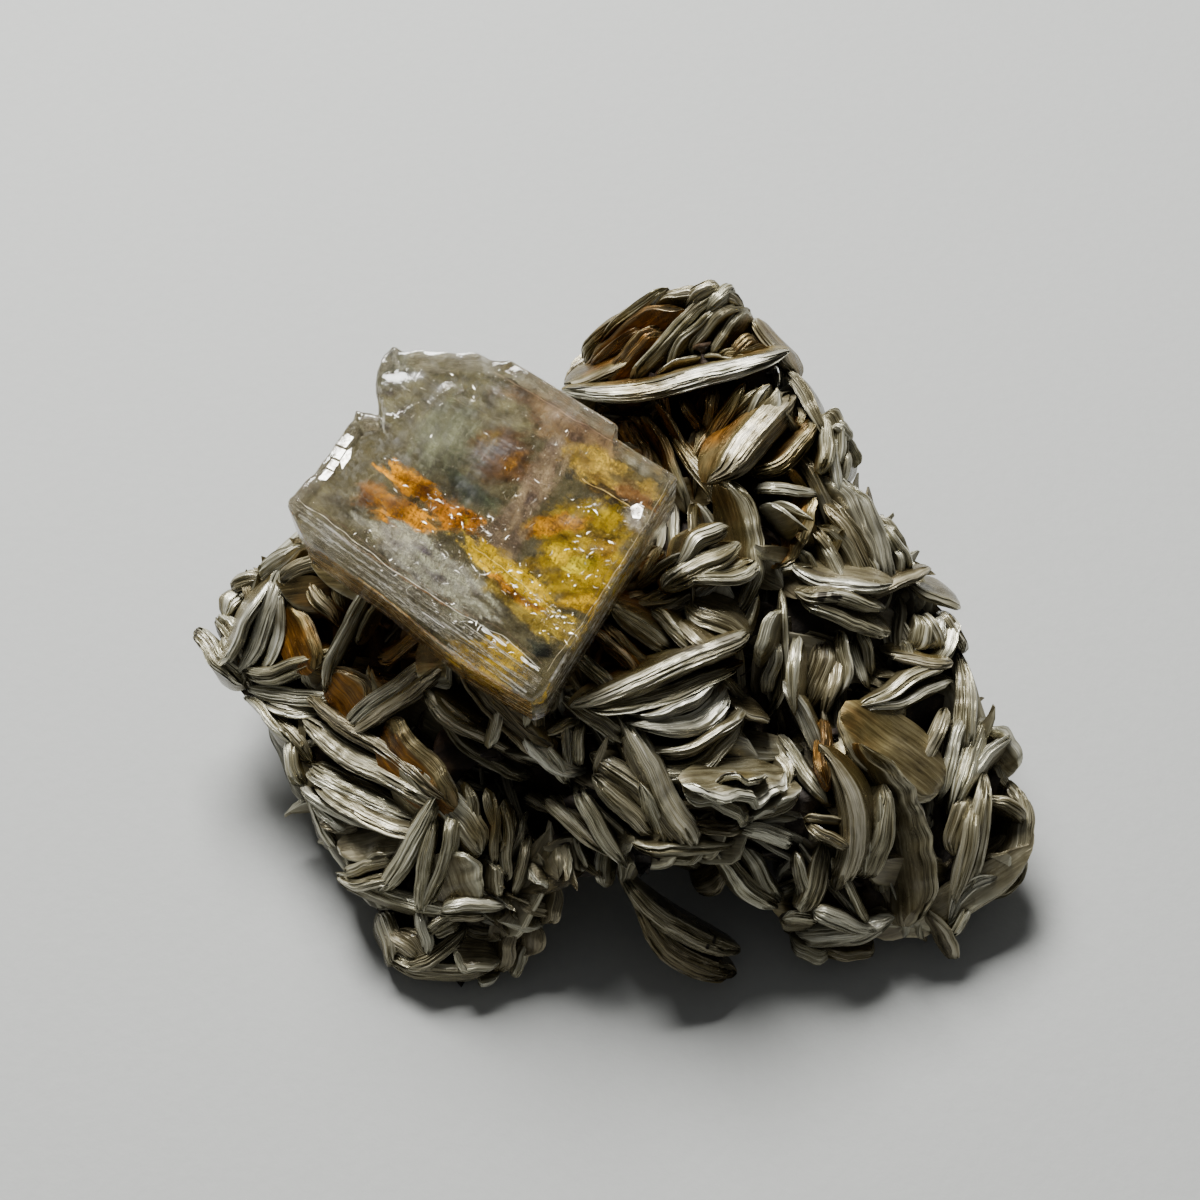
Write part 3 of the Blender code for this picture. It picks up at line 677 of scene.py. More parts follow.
# each book: rim from pixel, rim to pixel, thickness mm, depth mm, lean (the rim leans to the right of its
# travel), bow mm (bulges to the left of its travel), lift mm, stain, and for a few how ragged the rim is, mm
leftBooks = {
    "shoulder_fan": ((204, 612), (240, 675), 2.6, 4.5, 0, 0.2, 0.3, 0),
    "shoulderStack": ((286, 580), (242, 680), 3.0, 4.5, -5, 0.2, 0.8, 0.1),
    "shoulderCap": ((276, 576), (336, 556), 0.9, 3.0, -25, 0.2, 1.0, 0),
    "shoulderKnobOne": ((203, 604), (228, 582), 1.2, 3.0, -20, 0.2, 0.3, 0),
    "shoulderKnobTwo": ((224, 586), (258, 576), 1.2, 3.0, -20, 0.2, 0.3, 0),
    "shoulderKnobThree": ((254, 572), (300, 546), 1.4, 3.5, -30, 0.3, 0.2, 0),
    "shoulderEdge": ((214, 640), (240, 688), 1.2, 3.5, 10, 0.2, 0.2, 0),
    "shoulder_bar": ((240, 684), (325, 661), 1.6, 4.0, 10, -0.5, 0.3, 0.15),
    "barUnder": ((243, 692), (331, 702), 1.0, 4.0, 10, -0.1, 0.2, 0),
    "barUnderTwo": ((254, 703), (318, 716), 0.7, 4.0, 10, -0.1, 0.0, 0.1),
    "pocketBrown": ((298, 597), (325, 659), 0.5, 3.5, -50, 0.3, -0.8, 0.9),
    "pocketFibre": ((314, 568), (341, 618), 2.2, 3.5, 0, 0.2, -0.8, 0.8),
    "pocketFibreTwo": ((334, 565), (346, 602), 1.2, 3.0, 0, 0.0, -0.5, 0.7),
    "brightThin": ((364, 580), (319, 694), 0.75, 4.5, 20, 0.2, 0.8, 0),
    "thinBack": ((378, 588), (352, 642), 0.4, 4.0, 40, 0.0, 0.0, 0.6),
    "rustyPlate": ((342, 655), (371, 696), 0.6, 4.0, -45, 0.6, 0.0, 0.9),
    "rustFibre": ((372, 665), (425, 636), 0.8, 3.5, 0, 0.0, -1.0, 1.0),
    "rustFibreTwo": ((385, 656), (430, 652), 0.6, 3.0, 10, 0.0, -1.0, 1.0),
    "slantBundle": ((338, 729), (423, 668), 1.5, 4.0, 5, 0.1, 0.6, 0.1),
    "slantBundleTwo": ((345, 738), (441, 684), 0.9, 4.0, 15, 0.1, 0.9, 0),
    "brownPane": ((421, 688), (452, 680), 0.6, 4.0, 60, -0.1, 0.2, 0.4),
    "left_long": ((287, 706), (440, 806), 2.2, 4.5, 10, 0.1, 0.6, 0.1),
    "left_under": ((300, 765), (418, 823), 1.3, 4.5, 5, 0.2, 0.3, 0),
    "leftThird": ((298, 783), (411, 842), 1.0, 4.5, 15, 0.1, 0.5, 0),
    "leftFourth": ((303, 802), (346, 832), 0.8, 4.0, 20, 0.1, 0.0, 0),
    "leftEdgeOne": ((243, 696), (284, 750), 0.8, 3.5, 5, 0.1, 0.2, 0),
    "leftEdgeTwo": ((262, 704), (304, 754), 1.0, 3.5, 5, 0.1, 0.1, 0),
    "leftEdgeThree": ((280, 742), (298, 788), 0.8, 3.5, 0, -0.1, 0.2, 0),
    "leftEdgeFour": ((270, 742), (296, 796), 0.8, 3.5, 0, 0.0, 0.0, 0),
    "leftEdgeFive": ((298, 800), (322, 858), 0.9, 3.5, 0, 0.0, 0.0, 0),
    "amberLeaf": ((464, 792), (395, 713), 0.9, 5.0, 50, 0.4, 0.2, 0.8),
    "left_plate": ((408, 757), (488, 842), 1.0, 5.0, -35, 0.6, 0.4, 0.1),
    "left_upright": ((441, 806), (421, 925), 1.8, 4.5, 0, 0.3, 0.9, 0.05),
    "uprightBranch": ((438, 808), (377, 897), 1.2, 4.0, -10, 0.3, 0.7, 0),
    "darkPane": ((336, 864), (408, 850), 0.5, 6.0, 72, 0.0, -0.6, 0.1),
    "footLens": ((323, 874), (396, 868), 1.8, 4.0, 10, -0.2, 0.4, 0),
    "foot_long": ((326, 882), (457, 918), 1.3, 4.5, 5, -0.4, 0.5, 0),
    "footBlade": ((443, 911), (506, 905), 1.2, 4.0, 10, 0.3, 0.4, 0),
    "footFanOne": ((364, 919), (388, 966), 1.2, 4.0, 0, 0.2, 0.0, 0),
    "footFanTwo": ((379, 921), (422, 957), 1.2, 4.0, 0, 0.2, 0.1, 0),
    "footFanThree": ((403, 925), (436, 960), 1.2, 4.0, 0, 0.2, 0.2, 0),
    "foot_left": ((384, 966), (500, 974), 1.4, 4.5, 25, -0.5, 0.1, 0),
    "darkUprightOne": ((470, 792), (482, 842), 0.6, 4.0, 0, 0.1, -0.2, 0.4),
    "darkUprightTwo": ((486, 795), (498, 850), 0.6, 4.0, 10, 0.1, -0.1, 0.4),
    "darkUprightThree": ((514, 803), (506, 852), 0.6, 4.0, -10, 0.1, 0.0, 0.3),
    "darkUprightFour": ((525, 804), (518, 850), 0.6, 4.0, -10, 0.1, 0.0, 0.2),
    "darkUprightFive": ((494, 800), (497, 868), 0.5, 4.0, 0, 0.1, 0.0, 0.5),
    "darkUprightSix": ((507, 806), (504, 882), 0.6, 4.0, 10, 0.1, 0.2, 0.3),
    "darkUprightSeven": ((524, 832), (515, 892), 0.6, 4.0, 0, 0.3, 0.1, 0.1),
    "footFace": ((494, 903), (472, 848), 0.6, 5.0, 58, 0.3, 0.1, 0.05),
    "footFaceTwo": ((503, 902), (499, 866), 0.6, 4.5, 50, 0.1, 0.1, 0.05),
    "footSweep": ((400, 968), (464, 937), 1.0, 4.0, 10, -0.8, 0.5, 0),
    "footBarOne": ((426, 929), (457, 917), 0.7, 3.0, 0, 0.0, 0.7, 0),
    "footBarTwo": ((430, 937), (454, 925), 0.6, 3.0, 0, 0.0, 0.6, 0),
    "footSpike": ((425, 912), (427, 958), 0.8, 3.5, 0, 0.0, 0.9, 0),
    "footBladeLow": ((438, 918), (486, 913), 0.7, 3.5, 10, 0.3, 0.2, 0),
    "roseOne": ((456, 966), (504, 977), 0.7, 4.5, 50, 0.2, 0.5, 0),
    "roseTwo": ((507, 984), (514, 928), 0.7, 5.0, 52, 0.3, 0.3, 0),
    "roseThree": ((519, 980), (531, 944), 0.6, 4.5, 52, 0.2, 0.2, 0),
    "roseFour": ((540, 962), (546, 924), 0.6, 4.5, 52, 0.2, 0.2, 0),
    "roseFive": ((476, 984), (500, 986), 0.6, 4.0, 45, 0.1, 0.2, 0),
    "shadeScaleOne": ((556, 930), (566, 880), 0.7, 5.0, 50, 0.2, 0.1, 0),
    "shadeScaleTwo": ((520, 906), (554, 918), 0.7, 4.5, 45, 0.2, 0.1, 0),
    "shadeScaleThree": ((532, 882), (556, 890), 0.6, 4.5, 45, 0.2, 0.1, 0),
    "hangPlateOne": ((596, 952), (604, 902), 0.8, 4.5, 40, 0.2, 0.2, 0),
    "hangPlateTwo": ((620, 946), (642, 904), 0.8, 4.5, 40, 0.2, 0.2, 0),
    "leftSilverOne": ((296, 786), (372, 836), 0.6, 3.5, 10, 0.1, 0.1, 0),
    "leftSilverTwo": ((318, 832), (360, 826), 0.6, 4.0, 60, 0.0, -0.4, 0),
}
middleBooks = {
    "leafUnderCrystal": ((443, 640), (530, 760), 1.2, 5.0, 35, -0.9, 0.4, 0),
    "centre_fan": ((418, 703), (537, 792), 1.8, 5.0, 30, -0.5, 0.4, 0),
    "centreFanBack": ((425, 697), (540, 775), 1.0, 5.0, 30, -0.2, -0.2, 0),
    "underOne": ((489, 670), (486, 712), 0.6, 4.0, 0, 0.0, 0.2, 0),
    "underTwo": ((508, 690), (500, 736), 0.8, 4.0, 0, 0.0, 0.3, 0),
    "underThree": ((526, 698), (516, 742), 0.8, 4.0, 0, 0.0, 0.4, 0),
    "underFour": ((533, 703), (535, 742), 0.7, 4.0, 0, 0.0, 0.2, 0),
    "underFive": ((551, 690), (546, 720), 0.9, 4.0, 0, 0.0, 0.0, 0.2),
    "leafLow": ((520, 734), (576, 787), 0.9, 4.5, 25, -0.3, 0.3, 0),
    "leafHigh": ((557, 701), (622, 741), 0.8, 4.5, 20, 0.2, 0.2, 0),
    "thinCross": ((541, 737), (580, 718), 0.5, 4.0, 10, 0.0, 0.2, 0),
    "smallUprightOne": ((567, 727), (570, 770), 0.6, 3.5, 0, 0.0, 0.5, 0.2),
    "smallUprightTwo": ((582, 724), (576, 766), 0.6, 3.5, 0, 0.0, 0.5, 0.2),
    "shortRim": ((540, 753), (574, 786), 0.8, 4.0, 20, 0.1, 0.0, 0),
    "shortLeaf": ((520, 796), (551, 813), 0.7, 4.0, 30, 0.0, 0.1, 0),
    "slantRim": ((541, 789), (590, 850), 0.9, 4.5, 20, 0.3, 0.3, 0),
    "lower_slant": ((572, 790), (621, 871), 1.0, 4.5, 0, 0.2, 0.5, 0),
    "stripedPlate": ((592, 780), (655, 830), 1.6, 3.5, 10, 0.1, 0.2, 0),
    "stripedPlateTwo": ((590, 755), (650, 800), 1.2, 3.5, 10, 0.1, 0.0, 0),
    "tanBlade": ((569, 652), (619, 690), 0.8, 4.0, 5, 0.0, 0.4, 0),
    "amberBladeOne": ((589, 626), (638, 676), 0.7, 4.0, 10, 0.0, 0.0, 0.9),
    "amberBladeTwo": ((600, 622), (650, 668), 0.6, 4.0, 10, 0.0, 0.0, 0.8),
    "brownLeaf": ((608, 607), (666, 660), 1.0, 4.5, 30, 0.3, 0.3, 0.3),
    "darkLeafOne": ((667, 622), (707, 656), 0.8, 4.0, 30, 0.2, 0.1, 0.1),
    "darkLeafTwo": ((680, 613), (746, 643), 0.9, 4.5, 30, 0.5, 0.3, 0),
    "darkLeafThree": ((640, 612), (690, 645), 0.7, 4.0, 30, 0.3, 0.0, 0.2),
    "lens": ((586, 712), (762, 650), 2.2, 5.0, 15, -0.4, 0.6, 0),
    "crescent": ((640, 742), (739, 682), 1.8, 4.5, 25, -1.3, 0.2, 0),
    "crescentLow": ((653, 770), (757, 728), 1.9, 4.5, 20, -1.0, 0.4, 0),
    "centre_slant": ((618, 721), (696, 846), 1.6, 4.0, 0, 0.2, 0.9, 0),
    "slantLeaf": ((640, 790), (668, 856), 1.0, 4.0, 15, 0.3, 0.2, 0),
    "bright_plate": ((698, 806), (800, 798), 0.7, 5.0, 44, -0.5, 0.4, 0, 0.35),
    "brightFoldLeft": ((694, 800), (752, 826), 0.5, 4.5, 42, 0.5, 0.8, 0, 0.25),
    "brightFoldRight": ((748, 828), (806, 792), 0.5, 4.8, 40, 0.6, 1.0, 0, 0.25),
    "brightFoldTop": ((716, 784), (770, 778), 0.5, 4.0, 48, 0.4, 0.6, 0, 0.25),
    "underBright": ((745, 823), (805, 797), 0.9, 4.0, 40, -0.5, 0.2, 0),
    "aboveBright": ((764, 733), (801, 778), 0.6, 5.0, -50, 0.4, 0.0, 0.3),
    "crumple": ((696, 829), (750, 828), 0.8, 3.0, 0, -0.1, 0.4, 0),
    "shortBar": ((745, 831), (798, 841), 0.8, 3.5, 0, 0.0, 0.5, 0),
    "bottomRim": ((636, 858), (736, 850), 0.9, 4.5, 35, -0.3, 0.4, 0),
    "underFanTwo": ((625, 602), (682, 592), 0.8, 4.0, 10, 0.0, 0.0, 0.3),
    "underFanThree": ((626, 612), (690, 598), 0.6, 4.0, 10, 0.0, 0.2, 0.3),
    "under_fan": ((630, 623), (746, 577), 0.8, 4.0, 15, -0.9, 0.4, 0),
    "fan": ((682, 590), (748, 536), 3.6, 4.5, 10, 0.3, 0.4, 0.55),
    "fanThin": ((695, 494), (686, 594), 0.5, 4.0, 10, 0.1, 1.0, 0),
    "sideFibreOne": ((670, 540), (638, 579), 0.5, 4.0, 0, 0.0, 0.0, 0.3),
    "sideFibreTwo": ((683, 550), (628, 596), 0.6, 4.0, 0, 0.1, 0.0, 0.3),
    "tiltRimOne": ((787, 600), (776, 722), 0.6, 4.5, 0, 0.6, 0.8, 0),
    "tiltRimTwo": ((777, 642), (764, 698), 0.7, 4.0, 0, 0.1, 0.3, 0.1),
    "dark_pillar": ((820, 638), (808, 706), 1.6, 3.5, 0, 0.1, 0.4, 0.25),
    "pillarSheetOne": ((798, 628), (792, 700), 0.7, 4.0, 0, 0.2, 0.2, 0.3),
    "pillarSheetTwo": ((838, 640), (830, 704), 0.8, 4.0, 0, 0.1, 0.2, 0.3),
    "pillarSheetThree": ((846, 626), (842, 690), 0.6, 4.0, -10, 0.1, 0.0, 0.5),
    "tiltRimThree": ((770, 604), (750, 660), 0.7, 4.0, 10, 0.3, 0.2, 0.1),
    "tiltRimFour": ((758, 596), (738, 636), 0.6, 4.0, 10, 0.2, 0.0, 0.3),
    "yellowBlade": ((823, 714), (823, 778), 1.0, 3.0, 0, 0.0, 0.4, 1.0),
    "curvedRim": ((784, 688), (820, 764), 0.9, 4.0, 0, 0.4, 0.5, 0),
    "curvedRimTwo": ((768, 730), (822, 790), 0.8, 4.0, 0, 0.1, 0.3, 0),
    "curvedRimThree": ((732, 711), (775, 731), 0.7, 4.0, 10, 0.1, 0.3, 0),
}
upperBooks = {
    "crest": ((566, 401), (784, 365), 1.3, 5.0, 10, -0.5, 2.2, 0.45),
    "crestTwo": ((562, 396), (638, 366), 0.8, 4.0, 10, 0.3, 0.4, 0),
    "horn_left": ((572, 362), (628, 312), 1.2, 5.0, -20, 0.3, 0.2, 0.3),
    "horn_top": ((655, 290), (744, 292), 1.6, 6.0, -40, 0.6, 0.1, 0.4),
    "hornEdge": ((628, 383), (717, 280), 0.9, 5.0, -35, 0.3, 0.8, 0.5),
    "hornLeafOne": ((646, 372), (694, 300), 0.8, 5.0, -25, 0.3, 0.5, 0.5),
    "hornLeafTwo": ((664, 362), (716, 300), 0.8, 5.0, -25, 0.3, 0.4, 0.5),
    "hornLeafThree": ((684, 350), (732, 296), 0.8, 5.0, -25, 0.3, 0.3, 0.55),
    "hornLeafFour": ((706, 350), (745, 302), 0.8, 5.0, -25, 0.3, 0.2, 0.55),
    "hornOlive": ((654, 361), (745, 361), 0.6, 5.0, -40, 0.8, 0.0, 0.3),
    "hornAmber": ((718, 352), (782, 350), 0.7, 4.0, -40, 0.3, 0.3, 0.8),
    "hornPane": ((560, 384), (662, 294), 0.7, 5.5, -65, 0.4, 0.2, 0.95),
    "hornPaneTwo": ((598, 380), (650, 324), 0.6, 4.5, -60, 0.3, 0.6, 1.0),
    "hornOutline": ((553, 380), (602, 330), 0.9, 3.5, -20, 0.2, 0.3, 0),
    "hornOutlineTwo": ((596, 336), (664, 288), 0.9, 3.5, -20, 0.2, 0.3, 0),
    "hornTopTwo": ((686, 302), (719, 280), 0.9, 4.0, -10, 0.1, 0.4, 0),
    "hornTopThree": ((711, 304), (738, 284), 0.9, 4.0, -10, 0.1, 0.4, 0),
    "hornGrain": ((726, 352), (758, 336), 0.8, 4.0, -25, 0.2, 0.0, 0.9),
    "hornRust": ((585, 372), (640, 318), 0.8, 5.0, -30, 0.2, 0.0, 1.0),
    "hornRustTwo": ((605, 372), (652, 322), 0.7, 5.0, -30, 0.2, 0.2, 0.9),
    "ridgeRimOne": ((744, 321), (792, 374), 0.9, 4.5, 25, 0.1, -0.9, 0.5),
    "ridgeRimTwo": ((794, 366), (830, 440), 0.7, 4.0, 0, 0.2, 0.2, 0),
    "ridgeRimThree": ((830, 438), (836, 500), 0.7, 4.0, 0, -0.1, 0.2, 0),
    "brownThin": ((651, 410), (688, 505), 0.5, 4.5, -10, 0.4, 0.6, 0.4),
    "brownThinTwo": ((660, 423), (737, 514), 0.8, 4.5, -5, -0.2, 0.7, 0.6),
    "brownThinThree": ((668, 440), (725, 500), 0.5, 4.0, -5, 0.0, 0.2, 0.8),
    "hollowOne": ((640, 430), (662, 474), 0.8, 4.0, -30, 0.1, -0.6, 1.0),
    "hollowTwo": ((622, 418), (648, 462), 0.8, 4.0, -30, 0.1, -0.8, 1.0),
    "hollowThree": ((684, 400), (700, 436), 0.7, 4.0, 0, 0.1, -1.0, 1.0),
    "hollowFour": ((718, 392), (704, 432), 0.7, 4.0, 0, 0.1, -0.8, 0.9),
    "hollowAmberFace": ((706, 474), (734, 402), 0.6, 5.0, 50, 0.3, -2.2, 1.0),
    "hollowBrownFace": ((664, 478), (646, 410), 0.6, 5.0, 50, 0.3, -2.4, 1.0),
    "hollowBrownFaceTwo": ((640, 472), (618, 420), 0.6, 5.0, 50, 0.3, -2.0, 1.0),
    "hollowSheetOne": ((664, 404), (704, 498), 0.35, 5.0, -15, 0.2, -0.3, 0.8),
    "hollowSheetTwo": ((678, 420), (722, 500), 0.35, 5.0, -15, 0.2, -0.5, 0.9),
    "hollowSheetThree": ((694, 428), (716, 478), 0.35, 5.0, -10, 0.1, -0.9, 1.0),
    "hollowSheetFour": ((630, 412), (668, 488), 0.4, 5.0, -20, 0.2, -0.8, 0.9),
    "hollowSheetFive": ((662, 392), (676, 440), 0.4, 5.0, 10, 0.1, -1.0, 1.0),
    "ridgeLight": ((709, 472), (764, 384), 2.2, 4.5, 5, 0.3, 0.4, 0.4),
    "ridgeBrown": ((701, 458), (742, 388), 0.8, 4.0, 0, 0.2, -0.1, 0.8),
    "ridge_front": ((729, 479), (807, 393), 1.7, 5.0, 20, 0.2, 0.6, 0.5),
    "ridge_behind": ((764, 482), (824, 425), 1.0, 5.0, 35, -0.6, 0.5, 0.75),
    "ridgeShelf": ((764, 483), (824, 491), 0.6, 4.0, 10, 0.2, 0.5, 0.2),
    "upright": ((748, 479), (752, 625), 0.9, 4.5, -50, 2.2, 0.6, 0.5),
    "brownTriangle": ((822, 492), (794, 569), 0.6, 4.5, -45, 0.2, 0.2, 0.7),
    "side_upper": ((836, 466), (896, 580), 1.4, 6.0, -45, 0.8, 0.5, 0),
    "sideScallopOne": ((828, 408), (846, 424), 0.8, 3.5, -40, 0.2, 0.2, 0),
    "sideScallopTwo": ((842, 420), (858, 442), 0.8, 3.5, -40, 0.2, 0.2, 0),
    "sideScallopThree": ((850, 438), (863, 468), 0.8, 3.5, -40, 0.2, 0.2, 0),
    "scallopFoldOne": ((827, 411), (831, 467), 0.9, 3.5, -20, 0.2, 0.2, 0),
    "scallopFoldTwo": ((836, 416), (841, 466), 0.9, 3.5, -20, 0.2, 0.2, 0),
    "scallopFoldThree": ((845, 422), (848, 466), 0.9, 3.5, -20, 0.2, 0.2, 0),
    "scallopFoldFour": ((855, 432), (854, 471), 0.8, 3.5, -20, 0.2, 0.1, 0),
    "sideSilk": ((858, 474), (899, 582), 0.8, 4.5, -58, 0.3, 0.3, 0),
    "sideFoldOne": ((834, 519), (871, 588), 0.7, 4.5, -30, 0.5, 0.6, 0),
    "sideFoldTwo": ((822, 530), (851, 594), 0.7, 4.5, -30, 0.4, 0.5, 0),
    "sideFoldThree": ((862, 536), (874, 586), 0.6, 4.0, -30, 0.2, 0.3, 0),
    "sideLobeOne": ((889, 528), (911, 560), 0.8, 4.0, -30, 0.2, 0.2, 0),
    "sideLobeTwo": ((896, 545), (911, 577), 0.8, 4.0, -30, 0.2, 0.2, 0),
    "sideLineOne": ((800, 550), (818, 580), 0.8, 4.0, -10, 0.2, 0.2, 0),
    "sideLineTwo": ((817, 525), (848, 584), 0.9, 4.5, -15, 0.4, 0.3, 0),
    "sideLineThree": ((826, 505), (866, 588), 0.9, 5.0, -15, 0.5, 0.4, 0),
    "sideLineFour": ((834, 495), (876, 570), 0.8, 5.0, -15, 0.5, 0.4, 0),
    "sideLineFive": ((885, 525), (912, 574), 0.8, 4.0, -30, 0.2, 0.2, 0),
}
rightBooks = {
    "twin_upper": ((786, 574), (886, 598), 0.9, 4.0, 20, -0.3, 0.6, 0),
    "twinTip": ((850, 599), (936, 577), 0.8, 4.0, 15, -0.2, 0.7, 0),
    "twin_lower": ((794, 601), (901, 634), 1.8, 4.5, 15, 0.2, 0.7, 0),
    "stepBlade": ((885, 655), (954, 671), 0.7, 4.0, 10, 0.0, 0.8, 0),
    "stepBook": ((866, 714), (954, 672), 2.2, 4.5, 15, 0.0, 0.3, 0.2),
    "stepUprightOne": ((849, 636), (865, 686), 0.7, 4.0, 0, 0.1, 0.2, 0.3),
    "stepUprightTwo": ((862, 636), (876, 680), 0.8, 4.0, 0, 0.1, 0.2, 0.2),
    "stepRimOne": ((902, 640), (912, 668), 0.8, 4.0, 0, 0.1, 0.2, 0.1),
    "stepRimTwo": ((924, 610), (940, 650), 0.9, 4.0, 0, 0.1, 0.3, 0.2),
    "stepRimThree": ((942, 606), (958, 648), 0.9, 4.0, 0, 0.1, 0.2, 0),
    "stepFlat": ((911, 594), (965, 611), 0.6, 4.0, 10, 0.0, 0.4, 0),
    "stepFoldOne": ((928, 613), (922, 648), 0.9, 3.5, -20, 0.2, 0.3, 0.2),
    "stepFoldTwo": ((944, 615), (935, 645), 0.9, 3.5, -20, 0.2, 0.3, 0.2),
    "stepCurl": ((965, 617), (943, 662), 0.8, 4.5, -40, 0.4, 0.4, 0.2),
    "right_step": ((962, 640), (960, 756), 1.6, 5.0, 0, 0.5, 0.2, 0),
    "fanOne": ((943, 704), (921, 770), 0.9, 4.5, 10, 0.1, 0.3, 0.1),
    "fanTwo": ((962, 712), (938, 792), 1.0, 4.5, 10, 0.0, 0.4, 0),
    "fanThree": ((992, 714), (947, 798), 1.2, 4.5, 10, -0.3, 0.5, 0),
    "fanFour": ((1005, 730), (956, 804), 1.0, 4.5, 10, -0.3, 0.3, 0),
    "right_fan": ((988, 780), (960, 914), 1.4, 5.0, 0, 0.6, 0.4, 0),
    "fanFive": ((963, 795), (950, 852), 1.0, 4.0, 10, 0.1, 0.4, 0.1),
    "fanSix": ((973, 811), (947, 914), 1.0, 4.5, 0, 0.3, 0.5, 0),
    "fanSeven": ((994, 874), (947, 918), 1.0, 4.0, -10, -0.6, 0.3, 0),
    "rightPane": ((990, 716), (1031, 760), 0.6, 5.0, -60, 0.4, 0.2, 0.1),
    "rightPaneTwo": ((990, 798), (1034, 815), 0.7, 4.5, -40, 0.3, 0.2, 0),
    "right_edge": ((1032, 785), (1022, 900), 1.2, 5.0, -40, 0.5, 0.0, 0),
    "rightFootOne": ((938, 912), (965, 957), 0.8, 4.0, -30, 0.2, 0.2, 0),
    "rightFootTwo": ((976, 922), (960, 957), 0.8, 4.0, 10, 0.1, 0.1, 0),
    "amber_plate": ((830, 737), (924, 812), 0.6, 5.5, 58, 0.2, 0.4, 0.30, 0.05),
    "long_curve": ((900, 745), (938, 922), 0.8, 6.0, -45, 1.6, 0.6, 0),
    "curvedStack": ((826, 753), (843, 893), 1.5, 4.5, 10, 1.9, 0.5, 0),
    "front_pillar": ((868, 816), (860, 884), 1.2, 4.0, 0, 0.4, 0.3, 0),
    "pillarTwo": ((895, 803), (872, 888), 1.2, 4.5, -30, 0.7, 0.4, 0),
    "pillarThree": ((881, 800), (876, 860), 0.7, 4.0, 0, 0.2, 0.2, 0),
    "pillarLeaf": ((830, 845), (808, 914), 1.2, 4.5, -20, 0.5, 0.3, 0),
    "pillarThin": ((797, 860), (806, 906), 0.7, 4.0, 0, 0.0, 0.1, 0),
    "tanStraight": ((804, 824), (847, 850), 0.6, 3.0, 0, 0.0, 1.0, 0.2),
    "brownStraight": ((807, 815), (844, 819), 0.5, 3.0, 0, 0.0, 0.5, 0.5),
    "bottomBook": ((724, 856), (786, 926), 2.6, 4.5, 10, -0.3, 0.4, 0),
    "bottomPane": ((698, 902), (732, 884), 0.5, 5.0, 60, -0.2, 0.0, 0.3),
    "hanging": ((604, 884), (743, 984), 1.9, 5.0, 10, -1.2, 0.4, 0),
    "hangingBack": ((655, 885), (712, 915), 0.9, 4.0, 20, 0.0, 0.0, 0.2),
    "right_low": ((792, 941), (887, 932), 1.3, 4.5, 20, -0.1, 0.3, 0),
    "bottomRoseOne": ((746, 960), (779, 957), 0.8, 4.0, 35, 0.0, 0.1, 0),
    "bottomRoseTwo": ((828, 961), (880, 957), 0.8, 4.0, 40, 0.0, 0.1, 0),
    "bottomRoseThree": ((788, 955), (830, 961), 0.8, 4.0, 35, 0.0, 0.1, 0),
    "paneLow": ((706, 923), (746, 914), 0.6, 4.5, 58, 0.0, -0.3, 0.3),
    "lowBlade": ((820, 914), (880, 935), 0.9, 4.0, 10, 0.0, 0.3, 0),
    "thinLow": ((843, 883), (866, 931), 0.5, 4.0, 0, 0.0, 0.5, 0),
}


def growListed(groups):
    # a book that stands for a node of the frame is a piece of its own
    books = []
    for group, entries in groups.items():
        heap = Heap()
        for number, (name, entry) in enumerate(entries.items()):
            rng = np.random.default_rng(100 + number * 7 + len(group))
            book = bookAt(entry, "book_" + name not in cadNodes)
            if "book_" + name in cadNodes:
                own = Heap()
                growBook(own, book, rng, detail["standing"])
                piece = addPiece("sheets_" + name, own.mesh(name), mica)
                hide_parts("book_" + name)
            else:
                growBook(heap, book, rng, detail["listed"])
            books.append(book)
        addPiece(group, heap.mesh(group), mica)
        print(group, len(entries), "books", heap.count, "points")
    return books


listedBooks = growListed({"books_left": leftBooks, "books_middle": middleBooks, "books_upper": upperBooks,
                          "books_right": rightBooks})

# the books behind stand as the frame gives them
listed = {**leftBooks, **middleBooks, **upperBooks, **rightBooks}
for name in sorted(cadNodes):
    if name.startswith("book_") and name[5:] not in listed:
        rng = np.random.default_rng(sum(ord(letter) * (i + 3) for i, letter in enumerate(name)))
        heap = Heap()
        growBook(heap, readBook(cadNodes[name]), rng, detail["listed"])
        piece = addPiece(name.replace("book_", "sheets_"), heap.mesh(name), mica)
        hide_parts(name)
print("standing books grown")


# smaller books cover the rest of the mass, and thin ones stand down in the gaps, dark there from the mica's painted
# shade
smallBooks = {
    "seed": 11, "spacing": 0.9, "tries": 26000, "room": 0.44, "length": (7.0, 13.0), "thickness": (0.35, 0.95),
    "depth": (2.8, 4.0), "sink": (0.3, 1.2), "lowerInView": 0.55, "bow": 0.5, "lean": 8, "turn": 6,
    "crossing": 0.02, "fine": 0.42, "dive": 0.65,
}
deepBooks = {
    "seed": 23, "spacing": 3.2, "tries": 6000, "room": -9.0, "length": (5.0, 9.0), "thickness": (0.4, 0.9),
    "depth": (2.2, 3.0), "sink": (1.2, 2.4), "lowerInView": 0.3, "bow": 0.4, "lean": 18, "turn": 16,
    "crossing": 0.2, "fine": 0.42, "dive": 0.6,
}
scattered = {
    "facing": 0.25,               # skin turned this much to the viewer is in view
    "footBelow": 0.4,             # none grow on the flat foot, mm
    "shortest": 3.0,              # a book that stands out of the mass is shortened down to this, mm
    "shorter": 0.8,               # each time by this
    "ends": 0.46,                 # where its ends are tested, as a share of its length
    "borders": (8.0, -8.0, 12.0),  # back, left and right pieces of a layer start here, mm
}
